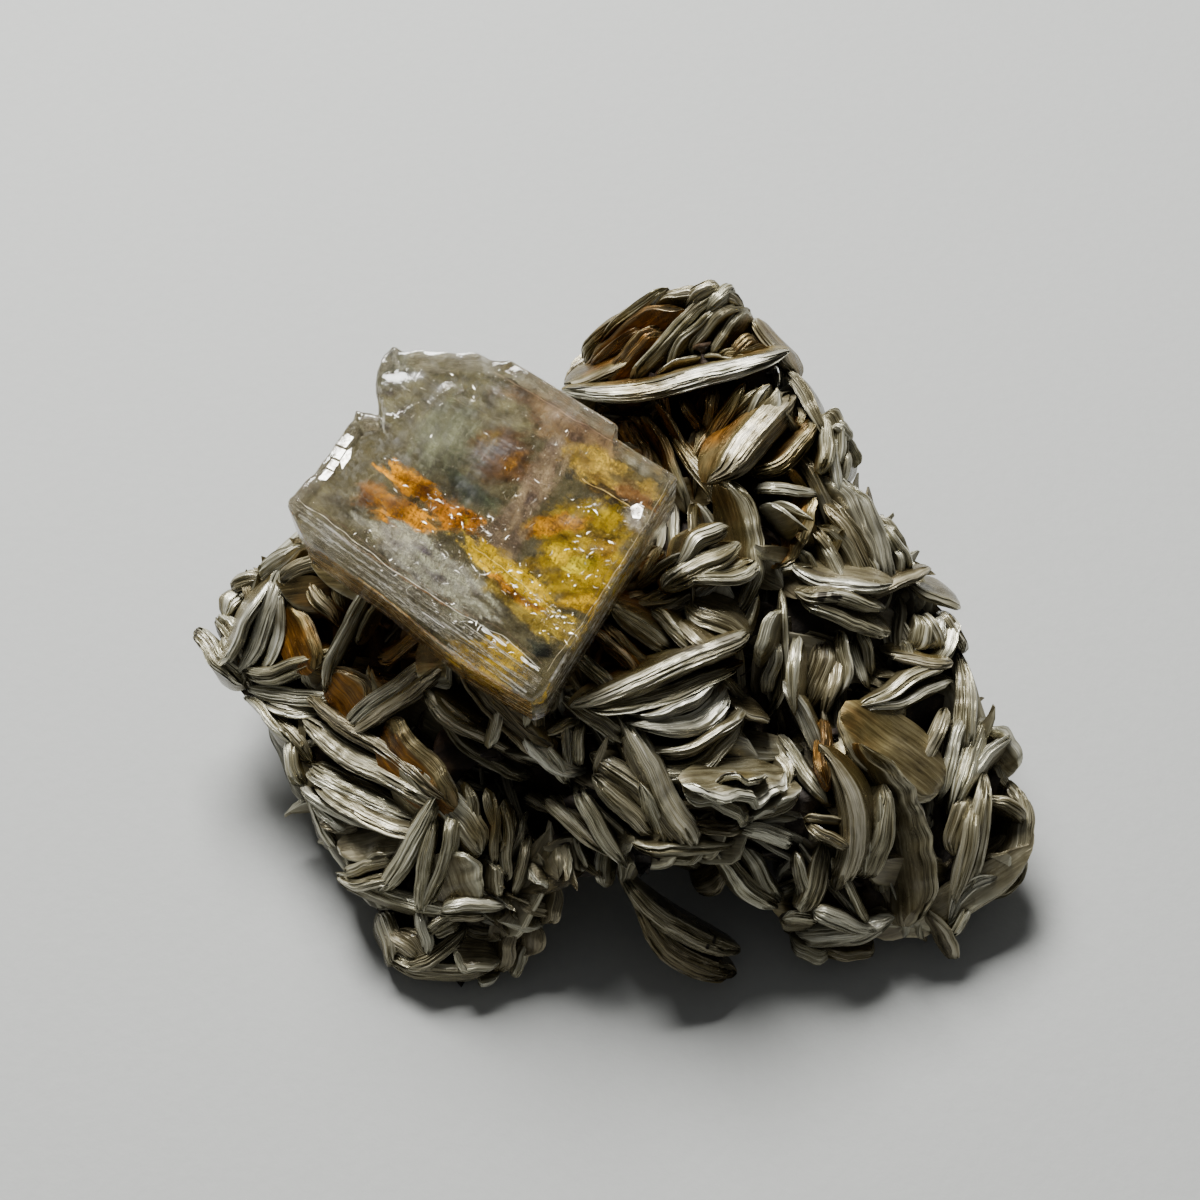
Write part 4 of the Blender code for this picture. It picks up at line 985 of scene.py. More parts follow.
guide = {
    "near": 3.2,                  # neighbours about this near set a book's run, mm
    "sameSide": 0.75,             # if they face the same way
    "looseScale": 0.07,           # fineness of the run where there are none
    "loose": 0.05,                # and how weakly it counts beside them
    "lean": 1.2,                  # how much a book leans as they do
    "calm": 0.4,                  # and how much it stands straight up instead
}


def scatter(setup, rng):
    corners = np.array([vertex.co for vertex in core.data.vertices]) / mm
    core.data.calc_loop_triangles()
    triangles = np.array([triangle.vertices[:] for triangle in core.data.loop_triangles])
    first, second, third = (corners[triangles[:, i]] for i in range(3))
    area = np.linalg.norm(np.cross(second - first, third - first), axis=1)
    picks = rng.choice(len(area), setup["tries"], p=area / area.sum())
    a, b = rng.random((2, setup["tries"]))
    over = a + b > 1
    a[over], b[over] = 1 - a[over], 1 - b[over]
    points = first[picks] + (second - first)[picks] * a[:, None] + (third - first)[picks] * b[:, None]
    kept = []
    for point in points:
        if not kept or np.linalg.norm(np.array(kept) - point, axis=1).min() > setup["spacing"]:
            kept.append(point)
    return kept


def skinAt(point):
    spot, normal, _, _ = coreTree.find_nearest(Vector(point))
    return np.array(spot).round(4), np.array(normal).round(4)


def directionAt(spot, normal):
    # neighbours set the run and the lean; far from any, a smooth noise does
    # (rounded, so that every run grows the same books)
    gaps = np.linalg.norm(known["middle"] - spot, axis=1)
    weights = (np.exp(-(gaps / guide["near"]) ** 2) * (known["outward"] @ normal > guide["sameSide"])).round(6)
    loose = np.array(noise.noise_vector(Vector(spot * guide["looseScale"])))
    spread = np.einsum("n,ni,nj->ij", weights, known["along"], known["along"])
    spread = spread + guide["loose"] * np.outer(loose, loose)
    flat = np.eye(3) - np.outer(normal, normal)
    along = np.linalg.eigh((flat @ spread @ flat).round(6))[1][:, -1].round(5)
    if along[np.argmax(np.abs(along))] < 0:
        along = -along
    outward = normal + guide["lean"] * (weights @ known["outward"]) / (weights.sum() + guide["calm"])
    outward -= along * (outward @ along)
    return along, (outward / np.linalg.norm(outward)).round(5)


def roomAt(spot):
    # distance to the nearest book's side
    offset = spot - known["middle"]
    reach = np.clip(np.einsum("ni,ni->n", offset, known["along"]), -known["half"], known["half"])
    return (np.linalg.norm(offset - reach[:, None] * known["along"], axis=1) - known["wide"]).min()


def remember(books, shares=(0.0,)):
    # the rim of each book, and lines part of the way down its sides
    for share in shares:
        known["middle"] = np.vstack((known["middle"], [book["middle"] - book["outward"] * book["depth"] * share
                                                       for book in books]))
        for key in ("along", "outward"):
            known[key] = np.vstack((known[key], [book[key] for book in books]))
        known["half"] = np.append(known["half"], [book["length"] * (0.42 - 0.15 * share) for book in books])
        known["wide"] = np.append(known["wide"], [book["thickness"] * 0.5 for book in books])


known = {key: np.zeros((0, 3)) for key in ("middle", "along", "outward")}
known.update(half=np.zeros(0), wide=np.zeros(0))
remember(listedBooks, (0.0, 0.25, 0.5, 0.75))


def growLayer(label, setup):
    rng = np.random.default_rng(setup["seed"])
    backFrom, leftFrom, rightFrom = scattered["borders"]
    regions, total = {}, 0
    for seed in scatter(setup, rng):
        spot, normal = skinAt(seed)
        if (spot[2] < scattered["footBelow"] and normal[2] < -0.8) or roomAt(spot) < setup["room"]:
            continue
        along, outward = directionAt(spot, normal)
        turn = math.radians(rng.normal(0, setup["turn"]))
        if rng.random() < setup["crossing"]:
            turn += math.radians(rng.uniform(35, 90)) * rng.choice((-1, 1))
        along = (along * math.cos(turn) + np.cross(outward, along) * math.sin(turn)).round(5)
        lean = math.radians(rng.normal(0, setup["lean"]))
        outward = (outward * math.cos(lean) + np.cross(along, outward) * math.sin(lean)).round(5)
        inView = float(normal @ towardsViewer > scattered["facing"])
        sink = rng.uniform(*setup["sink"]) + setup["lowerInView"] * inView + hollowAt(spot)
        middle = (spot - normal * sink).round(4)
        length, depth = rng.uniform(*setup["length"]), rng.uniform(*setup["depth"])
        while length > scattered["shortest"] and max(
                standsOut(middle + along * length * side * scattered["ends"]) for side in (1, -1)) > 0.0:
            length *= scattered["shorter"]
        if length < scattered["shortest"] or standsOut(middle - outward * depth) > 0:
            continue
        depth = rootedDepth(middle, along, outward, length / 2, depth)
        book = {"middle": middle, "along": along, "outward": outward, "length": length, "depth": depth,
                "thickness": rng.uniform(*setup["thickness"]), "bow": rng.normal(0, setup["bow"]),
                "dive": setup["dive"]}
        if setup["room"] > 0:
            remember([book])
        region = "back" if spot[1] > backFrom else "front"
        region += "_left" if spot[0] < leftFrom else "_right" if spot[0] > rightFrom else "_middle"
        growBook(regions.setdefault(region, Heap()), book, rng, setup["fine"])
        total += 1
    for region, heap in regions.items():
        addPiece(label + "_" + region, heap.mesh(region), mica)
    print(total, label, sum(len(heap.faces) for heap in regions.values()), "faces")


growLayer("small_books", smallBooks)
growLayer("deep_books", deepBooks)


# dark ground between the books, its near-black colour painted shade, its amber patches rust stain, mm
groundMass = {"voxel": 1.1, "inside": 2.1, "rough": 1.1, "grain": 0.35, "flatBelow": 0.6}


def makeGround(setup):
    piece = addPiece("stained_ground", core.data.copy(), ground)
    remesh = piece.modifiers.new("even", "REMESH")
    remesh.mode = "VOXEL"
    remesh.voxel_size = setup["voxel"] * mm
    graph = bpy.context.evaluated_depsgraph_get()
    even = bpy.data.meshes.new_from_object(piece.evaluated_get(graph), depsgraph=graph)
    piece.modifiers.clear()
    bm = bmesh.new()
    bm.from_mesh(even)
    bm.normal_update()
    for vert in bm.verts:
        rough = noise.fractal(vert.co / mm * setup["grain"], 0.6, 2.1, 4) * setup["rough"]
        if vert.co.z > setup["flatBelow"] * mm:
            vert.co -= vert.normal * (setup["inside"] + rough + hollowAt(np.array(vert.co) / mm)) * mm
            vert.co.z = max(vert.co.z, 0.0)
    bm.to_mesh(even)
    bm.free()
    places = np.array([vert.co for vert in even.vertices]) / mm
    even.attributes.new("rust", "FLOAT", "POINT").data.foreach_set("value", rustiness(places).astype(np.float32))
    even.materials.clear()
    even.materials.append(ground)
    even.shade_smooth()
    piece.data = even
    return piece


groundPiece = makeGround(groundMass)
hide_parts("muscovite_core")
print("ground made")

beryl = {
    "refraction": 1.577,
    "roughness": 0.07,
    "tint": (0.985, 0.975, 0.945),
    "absorbs": (0.90, 0.78, 0.42),   # the colour that is left, and how fast
    "density": 45.0,
    "grid": 0.6,                     # mm between the points of its faces
    "reach": 22.0,                   # mm from the middle of its top face to its far corners
    "faceSlope": 15,
    "faceMiddle": (-11.0, -1.0, 31.0),
    "wornEdge": 0.10,                # mm
    "relief": 0.10,                  # swelling of its faces, mm
    "chip": 0.38,                    # depth of the chips, mm
    "chipWidth": 4.5,                # mm over which the chips fade away from the broken edge
    "brokenFrom": (300, 486),        # the broken upper edge runs between these pixels
    "brokenTo": (512, 356),
    "sharpFrom": 24,                 # degrees
}
faceSlope = math.radians(beryl["faceSlope"])
faceMiddle = np.array(beryl["faceMiddle"])
faceNormal = np.array((0.0, -math.sin(faceSlope), math.cos(faceSlope)))
faceUp = np.array((0.0, math.cos(faceSlope), math.sin(faceSlope)))
faceRight = np.array((1.0, 0.0, 0.0))
crystalNode = cadNodes["beryl_crystal"]
crystalTree = treeOf(crystalNode)


def onFace(px, py):
    # where a pixel's ray meets the plane of the crystal's top face
    ray = pixelRay(px, py)
    return eye + ray * ((faceMiddle - eye) @ faceNormal) / (ray @ faceNormal)


def insideCrystal(px, py, depth):
    # the point seen at a pixel, this deep under the face, with the ray bent by the crystal
    ray = pixelRay(px, py)
    turn = ray / beryl["refraction"]
    across = turn - faceNormal * (turn @ faceNormal)
    bent = across - faceNormal * math.sqrt(1 - across @ across)
    return onFace(px, py) + bent * depth / -(bent @ faceNormal)


def berylLook(setup):
    look = Look("clear beryl")
    where = look.objectPlace()
    swirl = look.noiseAt(where, 260.0, 4.0, 0.6)
    pits = look.noiseAt(where, 1500.0, 3.0, 0.6)
    lines, cross = (look.noiseAt(look.turned(look.stretch(where, (1 / mm,) * 3), angle, (0.15, 2.4)), 1.0, 3.0, 0.6)
                    for angle in (60, -38))
    bump = look.bump(0.25, 0.0004, swirl * 0.5 + pits * 0.15 + lines * 0.25 + cross * 0.25)
    roughness = look.step(swirl, 0.45, 0.70) * 0.16 + setup["roughness"]
    glass = look.surface({
        "Base Color": (*setup["tint"], 1.0), "Roughness": roughness, "IOR": setup["refraction"],
        "Transmission Weight": 1.0, "Normal": bump})
    volume = look.node("ShaderNodeVolumeAbsorption", None, {
        "Color": (*setup["absorbs"], 1.0), "Density": setup["density"]})
    return look.finish(glass, volume)


def wholeFaces(node):
    # a CAD solid with one face where it has several triangles
    bm = bmesh.new()
    bm.from_mesh(node.data)
    bmesh.ops.remove_doubles(bm, verts=bm.verts, dist=0.00001)
    bmesh.ops.dissolve_limit(bm, angle_limit=math.radians(3), verts=bm.verts, edges=bm.edges)
    return bm


def makeGlass(setup):
    bm = wholeFaces(crystalNode)
    sharp = [edge for edge in bm.edges if len(edge.link_faces) == 2 and edge.calc_face_angle(0) > math.radians(20)]
    bmesh.ops.bevel(bm, geom=sharp, offset=setup["wornEdge"] * mm, segments=2, profile=0.6, affect="EDGES",
                    clamp_overlap=True)
    for axis in (faceRight, faceUp):
        for offset in np.arange(-setup["reach"], setup["reach"], setup["grid"]):
            spot = (faceMiddle + axis * offset) * mm
            bmesh.ops.bisect_plane(bm, geom=bm.verts[:] + bm.edges[:] + bm.faces[:], plane_co=spot, plane_no=axis)
    bm.normal_update()
    first, last = onFace(*setup["brokenFrom"]), onFace(*setup["brokenTo"])
    line = (last - first) / np.linalg.norm(last - first)
    inward = np.cross(line, faceNormal)
    for vert in bm.verts:
        spot = np.array(vert.co) / mm
        swell = noise.fractal(Vector(spot * 0.22), 0.7, 2.0, 3) * setup["relief"]
        vert.co += Vector(faceNormal * swell * mm)
        along, away = (spot - first) @ line, (spot - first) @ inward
        near = 0.0
        if -1 < along < np.linalg.norm(last - first) + 1:
            near = max(0.0, 1 - max(0.0, away + 3.0) / setup["chipWidth"])
        if near > 0:
            rough = noise.noise_vector(Vector(spot * 0.9)) * 0.7 + noise.noise_vector(Vector(spot * 2.1)) * 0.3
            vert.co += rough * near * setup["chip"] * mm
    mesh = bpy.data.meshes.new("beryl")
    bm.to_mesh(mesh)
    bm.free()
    mesh.shade_smooth()
    mesh.set_sharp_from_angle(angle=math.radians(setup["sharpFrom"]))
    piece = addPiece("beryl_glass", mesh, berylLook(setup))
    piece.visible_shadow = False     # lamps shine through it
    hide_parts("beryl_crystal")
    print("crystal", len(mesh.polygons), "faces")


makeGlass(beryl)

# stained and fractured zones sealed in the crystal, drawn on wavy sheets at three depths
sealed = {
    "step": 2.4,                     # pixels between the points of a sheet
    "margin": 0.22,                  # mm kept from the crystal's skin
    "frame": (284, 342, 682, 704),
    "warps": ((0.022, 9.0), (0.07, 4.5), (0.17, 2.2)),   # how fine, and how many pixels
    "patterns": ((0.03, 0.17, 0), (0.15, 0.3, 50), (0.05, 0.14, 90)),    # of the fringe, the grain, the mottle
    "fringe": 0.8,
    "grain": 0.3,
    "mottle": 0.95,
    "sheets": {
        # depth and waviness in mm, cover and colour away from the zones
        "near": {"depth": 0.55, "wave": 0.2, "cover": 0.10, "ground": (0.20, 0.18, 0.118)},
        "mid": {"depth": 2.4, "wave": 0.9, "cover": 0.36, "ground": (0.135, 0.120, 0.062)},
        "deep": {"depth": 4.9, "wave": 0.6, "cover": 0.90, "ground": (0.088, 0.077, 0.037)},
    },
}
zones = {
    # middle pixel, half length and half width in pixels, angle, colour, cover near, mid and deep
    "upperHaze": ((440, 402), (88, 48), -10, (0.150, 0.138, 0.083), (0.16, 0.50, 0.90)),
    "knob": ((394, 366), (22, 22), 0, (0.13, 0.13, 0.095), (0.20, 0.60, 0.90)),
    "leftFacet": ((330, 502), (48, 20), -12, (0.145, 0.130, 0.080), (0.20, 0.50, 0.90)),
    "blueVeil": ((446, 440), (36, 30), 60, (0.17, 0.18, 0.12), (0.32, 0.50, 0.85)),
    "greenShade": ((468, 492), (26, 11), -40, (0.055, 0.065, 0.040), (0.10, 0.75, 0.95)),
    "upperBrown": ((536, 402), (30, 10), -30, (0.14, 0.092, 0.050), (0.10, 0.55, 0.85)),
    "peach": ((570, 426), (56, 25), -30, (0.22, 0.145, 0.080), (0.12, 0.45, 0.85)),
    "olive": ((611, 474), (54, 18), -28, (0.40, 0.27, 0.045), (0.06, 0.65, 0.95)),
    "oliveDark": ((628, 478), (13, 6), -20, (0.16, 0.12, 0.045), (0.05, 0.60, 0.90)),
    "wedge": ((609, 494), (24, 6), -32, (0.060, 0.036, 0.008), (0.05, 0.85, 0.95)),
    "rightBrown": ((636, 498), (20, 10), -32, (0.22, 0.11, 0.035), (0.05, 0.55, 0.90)),
    "brown": ((503, 456), (28, 27), 0, (0.105, 0.052, 0.016), (0.06, 0.60, 0.95)),
    "brownAmber": ((512, 464), (12, 9), 30, (0.18, 0.080, 0.006), (0.04, 0.70, 0.95)),
    "brownYellow": ((491, 443), (12, 7), 20, (0.20, 0.13, 0.02), (0.04, 0.70, 0.95)),
    "yellow": ((582, 552), (46, 50), 20, (0.44, 0.295, 0.0006), (0.05, 0.45, 0.95)),
    "yellowShade": ((592, 532), (22, 9), -10, (0.16, 0.105, 0.008), (0.04, 0.60, 0.90)),
    "yellowTop": ((599, 508), (17, 9), 10, (0.52, 0.37, 0.0006), (0.04, 0.75, 0.95)),
    "yellowBright": ((566, 554), (20, 9), 10, (0.62, 0.43, 0.0006), (0.04, 0.80, 0.95)),
    "yellowGreen": ((583, 564), (14, 7), 15, (0.45, 0.36, 0.004), (0.04, 0.80, 0.95)),
    "yellowRight": ((609, 547), (14, 10), 30, (0.40, 0.235, 0.006), (0.04, 0.70, 0.95)),
    "yellowFoot": ((580, 600), (16, 11), 0, (0.46, 0.28, 0.002), (0.05, 0.70, 0.95)),
    "orangeRight": ((552, 527), (30, 10), 12, (0.42, 0.19, 0.0006), (0.0, 0.80, 0.98)),
    "greyRight": ((634, 516), (13, 12), -40, (0.36, 0.33, 0.28), (0.45, 0.45, 0.85)),
    "pinkVeil": ((534, 492), (64, 15), 60, (0.24, 0.175, 0.115), (0.45, 0.45, 0.75)),
    "pinkLow": ((500, 540), (30, 22), 60, (0.21, 0.155, 0.10), (0.25, 0.35, 0.75)),
    "orangeWing": ((371, 494), (20, 12), -5, (0.30, 0.135, 0.03), (0.06, 0.50, 0.90)),
    "orangeUnder": ((405, 514), (34, 14), -18, (0.46, 0.19, 0.0006), (0.0, 0.85, 0.98)),
    "orangeTop": ((415, 486), (31, 13), -33, (0.66, 0.28, 0.0006), (0.0, 0.97, 0.98)),
    "orangeLow": ((456, 518), (28, 13), -32, (0.30, 0.11, 0.0006), (0.04, 0.94, 0.98)),
    "cloud": ((432, 568), (74, 24), -38, (0.30, 0.30, 0.25), (0.58, 0.55, 0.85)),
    "cloudTop": ((398, 540), (32, 15), -30, (0.34, 0.33, 0.28), (0.55, 0.45, 0.80)),
    "fingersPale": ((528, 606), (60, 16), -40, (0.36, 0.26, 0.035), (0.06, 0.55, 0.95)),
    "fingers": ((516, 578), (56, 14), -40, (0.60, 0.40, 0.0006), (0.04, 0.92, 0.98)),
    "fingersAmber": ((514, 590), (30, 5), -32, (0.46, 0.19, 0.0006), (0.04, 0.95, 0.98)),
    "bandYellow": ((496, 650), (34, 8), -28, (0.50, 0.33, 0.006), (0.10, 0.80, 0.95)),
    "edgeYellow": ((464, 650), (14, 7), -35, (0.52, 0.33, 0.004), (0.10, 0.75, 0.95)),
    "tipYellow": ((489, 669), (26, 7), -35, (0.36, 0.24, 0.03), (0.10, 0.75, 0.95)),
    "darkSpot": ((539, 650), (14, 9), -20, (0.028, 0.032, 0.024), (0.10, 0.98, 0.98)),
    "darkSmall": ((570, 475), (5, 4), -10, (0.03, 0.03, 0.028), (0.80, 0.85, 0.85)),
    "darkTip": ((520, 686), (15, 6), -30, (0.05, 0.055, 0.040), (0.10, 0.80, 0.95)),
}


def drawZones(places, layer, setup):
    # the colour and cover at each point of a sheet: zones with fringed, streaky outlines
    shift = np.zeros_like(places)
    for fine, far in sealed["warps"]:
        shift += np.array([noise.noise_vector(Vector((x * fine, y * fine, layer * 5.0)))[:2]
                           for x, y in places]) * far
    warped = places + shift
    colour = np.tile(setup["ground"], (len(places), 1))
    cover = np.full(len(places), setup["cover"])
    for number, (centre, (halfLong, halfWide), angle, tint, covers) in enumerate(zones.values()):
        turn = math.radians(angle)
        across = warped - centre
        along = across[:, 0] * math.cos(turn) - across[:, 1] * math.sin(turn)
        aside = across[:, 0] * math.sin(turn) + across[:, 1] * math.cos(turn)
        near = np.flatnonzero(np.hypot(along / halfLong, aside / halfWide) < 1.9)
        if len(near) == 0:
            continue
        fringe, grain, patch = (np.array([noise.noise(Vector((along[k] * x, aside[k] * y, number + z))) for k in near])
                                for x, y, z in sealed["patterns"])
        far = np.hypot(along[near] / halfLong + fringe * sealed["fringe"], aside[near] / halfWide)
        inside = softStep(far + grain * sealed["grain"], 1.10, 0.90)
        mottled = np.array(tint) * (1 + sealed["mottle"] * patch[:, None] * (1.0, 1.08, 0.85))
        colour[near] += (mottled - colour[near]) * inside[:, None]
        cover[near] += (covers[layer] - cover[near]) * inside
    return colour, cover


def veilLook(label):
    look = Look("sealed " + label)
    place = look.attribute("place")
    warped = look.node("ShaderNodeVectorMath", {"operation": "MULTIPLY_ADD"}, {
        0: look.noiseAt(place, 0.10, 3.0, 0.6, "Color"), 1: (12.0, 12.0, 0.0), 2: place})
    threads = look.noiseAt(look.turned(warped, 60, (0.05, 0.36)), 1.0, 4.0, 0.7)
    rays = look.noiseAt(look.turned(warped, -38, (0.05, 0.32)), 1.0, 4.0, 0.7)
    specks = look.noiseAt(place, 0.34, 2.0, 0.6)
    pattern = threads * 0.39 + rays * 0.39 + specks * 0.22
    shade = look.ramp(pattern, [(0.36, (0.10, 0.07, 0.035)), (0.44, (0.36, 0.33, 0.26)), (0.52, (0.64, 0.62, 0.55)),
                                (0.59, (0.80, 0.79, 0.74)), (0.67, (1.4, 1.45, 1.5))])
    colour = look.blend(1.0, look.attribute("tint", "Color"), shade, "MULTIPLY")
    alpha = look.covered(look.step(pattern, 0.36, 0.56) * 0.6 + 0.55, look.attribute("cover", "Fac"))
    bump = look.bump(0.6, 0.0008, pattern)
    return look.finish(look.surface({
        "Base Color": colour, "Roughness": specks * 0.5 + 0.25, "IOR": 1.1, "Alpha": alpha, "Normal": bump}))


def crystalGap(point):
    # how far inside the crystal's skin a point is, negative outside
    return -outsideOf(crystalTree, point)


def gridMesh(name, index, points, attributes):
    # a mesh over the grid places that are there, with its painted values
    faces = [[index[corner] for corner in ((i, j), (i, j + 1), (i + 1, j + 1), (i + 1, j))]
             for i, j in index if {(i, j + 1), (i + 1, j + 1), (i + 1, j)} <= index.keys()]
    mesh = bpy.data.meshes.new(name)
    mesh.from_pydata((np.array(points) * mm).tolist(), [], faces)
    for label, (kind, key, values) in attributes.items():
        mesh.attributes.new(label, kind, "POINT").data.foreach_set(key, np.array(values, np.float32).ravel())
    mesh.shade_smooth()
    return mesh


def makeSheet(label, layer, setup):
    left, top, right, bottom = sealed["frame"]
    points, places, index = [], [], {}
    for i, px in enumerate(np.arange(left, right, sealed["step"])):
        for j, py in enumerate(np.arange(top, bottom, sealed["step"])):
            wave = noise.fractal(Vector((px / 48, py / 48, layer * 7.0)), 0.8, 2.0, 3) * setup["wave"]
            point = insideCrystal(px, py, setup["depth"] + wave)
            if crystalGap(point) > sealed["margin"]:
                index[i, j] = len(points)
                points.append(point)
                places.append((px, py))
    places = np.array(places)
    colour, cover = drawZones(places, layer, setup)
    flat = np.column_stack([places[:, 0], -places[:, 1], np.full(len(places), layer * 40.0)])
    mesh = gridMesh("sealed_" + label, index, points, {
        "place": ("FLOAT_VECTOR", "vector", flat), "cover": ("FLOAT", "value", cover),
        "tint": ("FLOAT_COLOR", "color", np.column_stack([colour, np.ones(len(places))]))})
    addPiece("sealed_" + label, mesh, veilLook(label))


for layer, (label, setup) in enumerate(sealed["sheets"].items()):
    makeSheet(label, layer, setup)
print("sealed sheets made")

# growth lines just inside the crystal's sides
walls = {
    "inside": 0.25,
    "step": 0.5,
    "least": 4.0,                    # square mm, smaller faces are left clear
    # cover, warmth and fineness: the band beside the top face, the side under it, the striped side, the rest
    "band": (0.48, 0.10, 0.8),
    "under": (0.72, 1.10, 0.5),
    "striped": (0.97, 0.50, 0.22),
    "rest": (0.30, 0.30, 0.6),
}


def wallLook():
    look = Look("striated side")
    place = look.attribute("place")
    lines = look.noiseAt(look.stretch(place, (0.12, 4.5, 1.0)), 1.0, 4.0, 0.7)
    patches = look.noiseAt(look.stretch(place, (0.35, 0.5, 1.0)), 1.0, 4.0, 0.65)
    grains = look.noiseAt(look.stretch(place, (2.0, 9.0, 1.0)), 1.0, 3.0, 0.7)
    pattern = lines * 0.62 + grains * 0.38
    amber = look.ramp(pattern, [(0.38, (0.012, 0.004, 0.0006)), (0.45, (0.10, 0.038, 0.001)),
                                (0.53, (0.30, 0.145, 0.006)), (0.62, (0.80, 0.66, 0.38))])
    pale = look.ramp(pattern, [(0.38, (0.03, 0.022, 0.012)), (0.46, (0.12, 0.098, 0.055)),
                               (0.54, (0.33, 0.31, 0.24)), (0.62, (0.85, 0.84, 0.78))])
    warm = look.step(patches - look.attribute("warm", "Fac"), -0.05, -0.35)
    alpha = look.covered(look.step(pattern, 0.40, 0.60) * 0.9 + 0.45, look.attribute("cover", "Fac"))
    bump = look.bump(1.0, 0.0005, pattern)
    return look.finish(look.surface({
        "Base Color": look.blend(warm, pale, amber), "Roughness": grains * 0.5 + 0.2, "IOR": 1.25,
        "Alpha": alpha, "Normal": bump}))


def makeWalls(setup):
    bm = wholeFaces(crystalNode)
    bm.normal_update()
    points, places, covers, warmths, index = [], [], [], [], {}
    for face in bm.faces:
        normal = np.array(face.normal)
        if abs(normal @ faceNormal) > 0.85 or face.calc_area() / mm ** 2 < setup["least"]:
            continue
        if normal @ faceRight > 0.3 and normal @ faceUp < 0:
            kind = "striped"
        elif normal @ faceRight < 0 and normal @ faceUp < -0.3:
            kind = "band" if normal @ faceNormal > 0.3 else "under"
        else:
            kind = "rest"
        corners = np.array([vert.co for vert in face.verts]) / mm
        run = np.cross(normal, faceNormal)
        run /= np.linalg.norm(run)
        fall = np.cross(run, normal)
        a, b = (corners - corners[0]) @ run, (corners - corners[0]) @ fall
        for i, x in enumerate(np.arange(a.min(), a.max() + setup["step"], setup["step"])):
            for j, y in enumerate(np.arange(b.min(), b.max() + setup["step"], setup["step"])):
                spot = corners[0] + run * x + fall * y - normal * setup["inside"]
                if crystalGap(spot) > setup["inside"] * 0.6:
                    index[i + face.index * 1000, j] = len(points)
                    points.append(spot)
                    places.append((spot @ run, spot @ fall * setup[kind][2], face.index * 5.0))
                    covers.append(setup[kind][0])
                    warmths.append(setup[kind][1])
    bm.free()
    mesh = gridMesh("striated_sides", index, points, {
        "place": ("FLOAT_VECTOR", "vector", places), "cover": ("FLOAT", "value", covers),
        "warm": ("FLOAT", "value", warmths)})
    addPiece("striated_sides", mesh, wallLook())


makeWalls(walls)
print("striated sides made")

# small fracture planes that flash where they face between the lamp and the eye
flashes = {
    # middle pixel, spread along and across in pixels, angle, how many, depth mm
    "leftEdge": ((333, 455), (16, 8), 60, 14, 0.6),
    "cloudTop": ((372, 533), (14, 8), -30, 14, 0.8),
    "cloudMiddle": ((440, 548), (40, 10), -30, 44, 0.8),
    "cloudLow": ((426, 584), (70, 18), -38, 50, 0.7),
    "orange": ((428, 500), (40, 18), -28, 40, 1.4),
    "centre": ((482, 526), (24, 12), -30, 40, 1.2),
    "fingers": ((526, 588), (56, 14), -38, 80, 1.4),
    "fingersEnd": ((552, 618), (22, 14), -38, 40, 1.0),
    "rightTop": ((584, 508), (18, 8), 0, 16, 1.0),
    "rightCorner": ((636, 514), (12, 12), 0, 26, 0.8),
    "right": ((592, 562), (34, 34), 20, 70, 1.4),
    "band": ((488, 638), (44, 7), -30, 40, 0.5),
    "ridge": ((432, 606), (60, 4), -37, 30, 0.5),
    "upper": ((430, 392), (90, 34), -10, 40, 1.2),
    "veil": ((534, 474), (70, 22), 60, 60, 1.4),
}
fracture = {
    "length": (0.05, 0.42), "width": (0.012, 0.05),    # mm
    "jitter": 0.22, "roughness": 0.25,
    "mirrorDepth": 0.6,
}
mirrors = {
    # corners in pixels, of larger planes by the cracked left edge
    "upper": [(347, 433), (353, 437), (346, 448), (338, 444)],
    "middle": [(337, 446), (345, 450), (340, 460), (333, 457), (332, 452)],
    "low": [(332, 459), (339, 462), (334, 471), (327, 467)],
    "foot": [(326, 469), (333, 472), (326, 481), (319, 479)],
    "side": [(347, 450), (351, 447), (350, 458), (343, 470), (341, 461)],
    "corner": [(631, 507), (637, 503), (643, 509), (640, 519), (633, 518)],
}
lampPlace = np.array(lampSetup["place"])


def fractureLook(setup):
    look = Look("fracture plane")
    where = look.objectPlace()
    grain = look.noiseAt(where, 3000.0, 3.0, 0.6)
    colour = look.ramp(grain, [(0.35, (0.55, 0.52, 0.45)), (0.65, (0.95, 0.95, 0.92))])
    return look.finish(look.surface({
        "Base Color": colour, "Roughness": grain * 0.3 + setup["roughness"] - 0.1, "Metallic": 1.0,
        "Alpha": look.step(grain, 0.3, 0.6) * 0.7 + 0.3}))


def flashNormal(spot, px, py):
    # a plane turned this way sends the lamp's light to the eye, both bent at the face
    parts = []
    for direction in (-pixelRay(px, py), (lampPlace - spot) / np.linalg.norm(lampPlace - spot)):
        bent = direction / beryl["refraction"]
        flat = bent - faceNormal * (bent @ faceNormal)
        parts.append(flat + faceNormal * math.sqrt(1 - flat @ flat))
    halfway = parts[0] + parts[1]
    return halfway / np.linalg.norm(halfway)


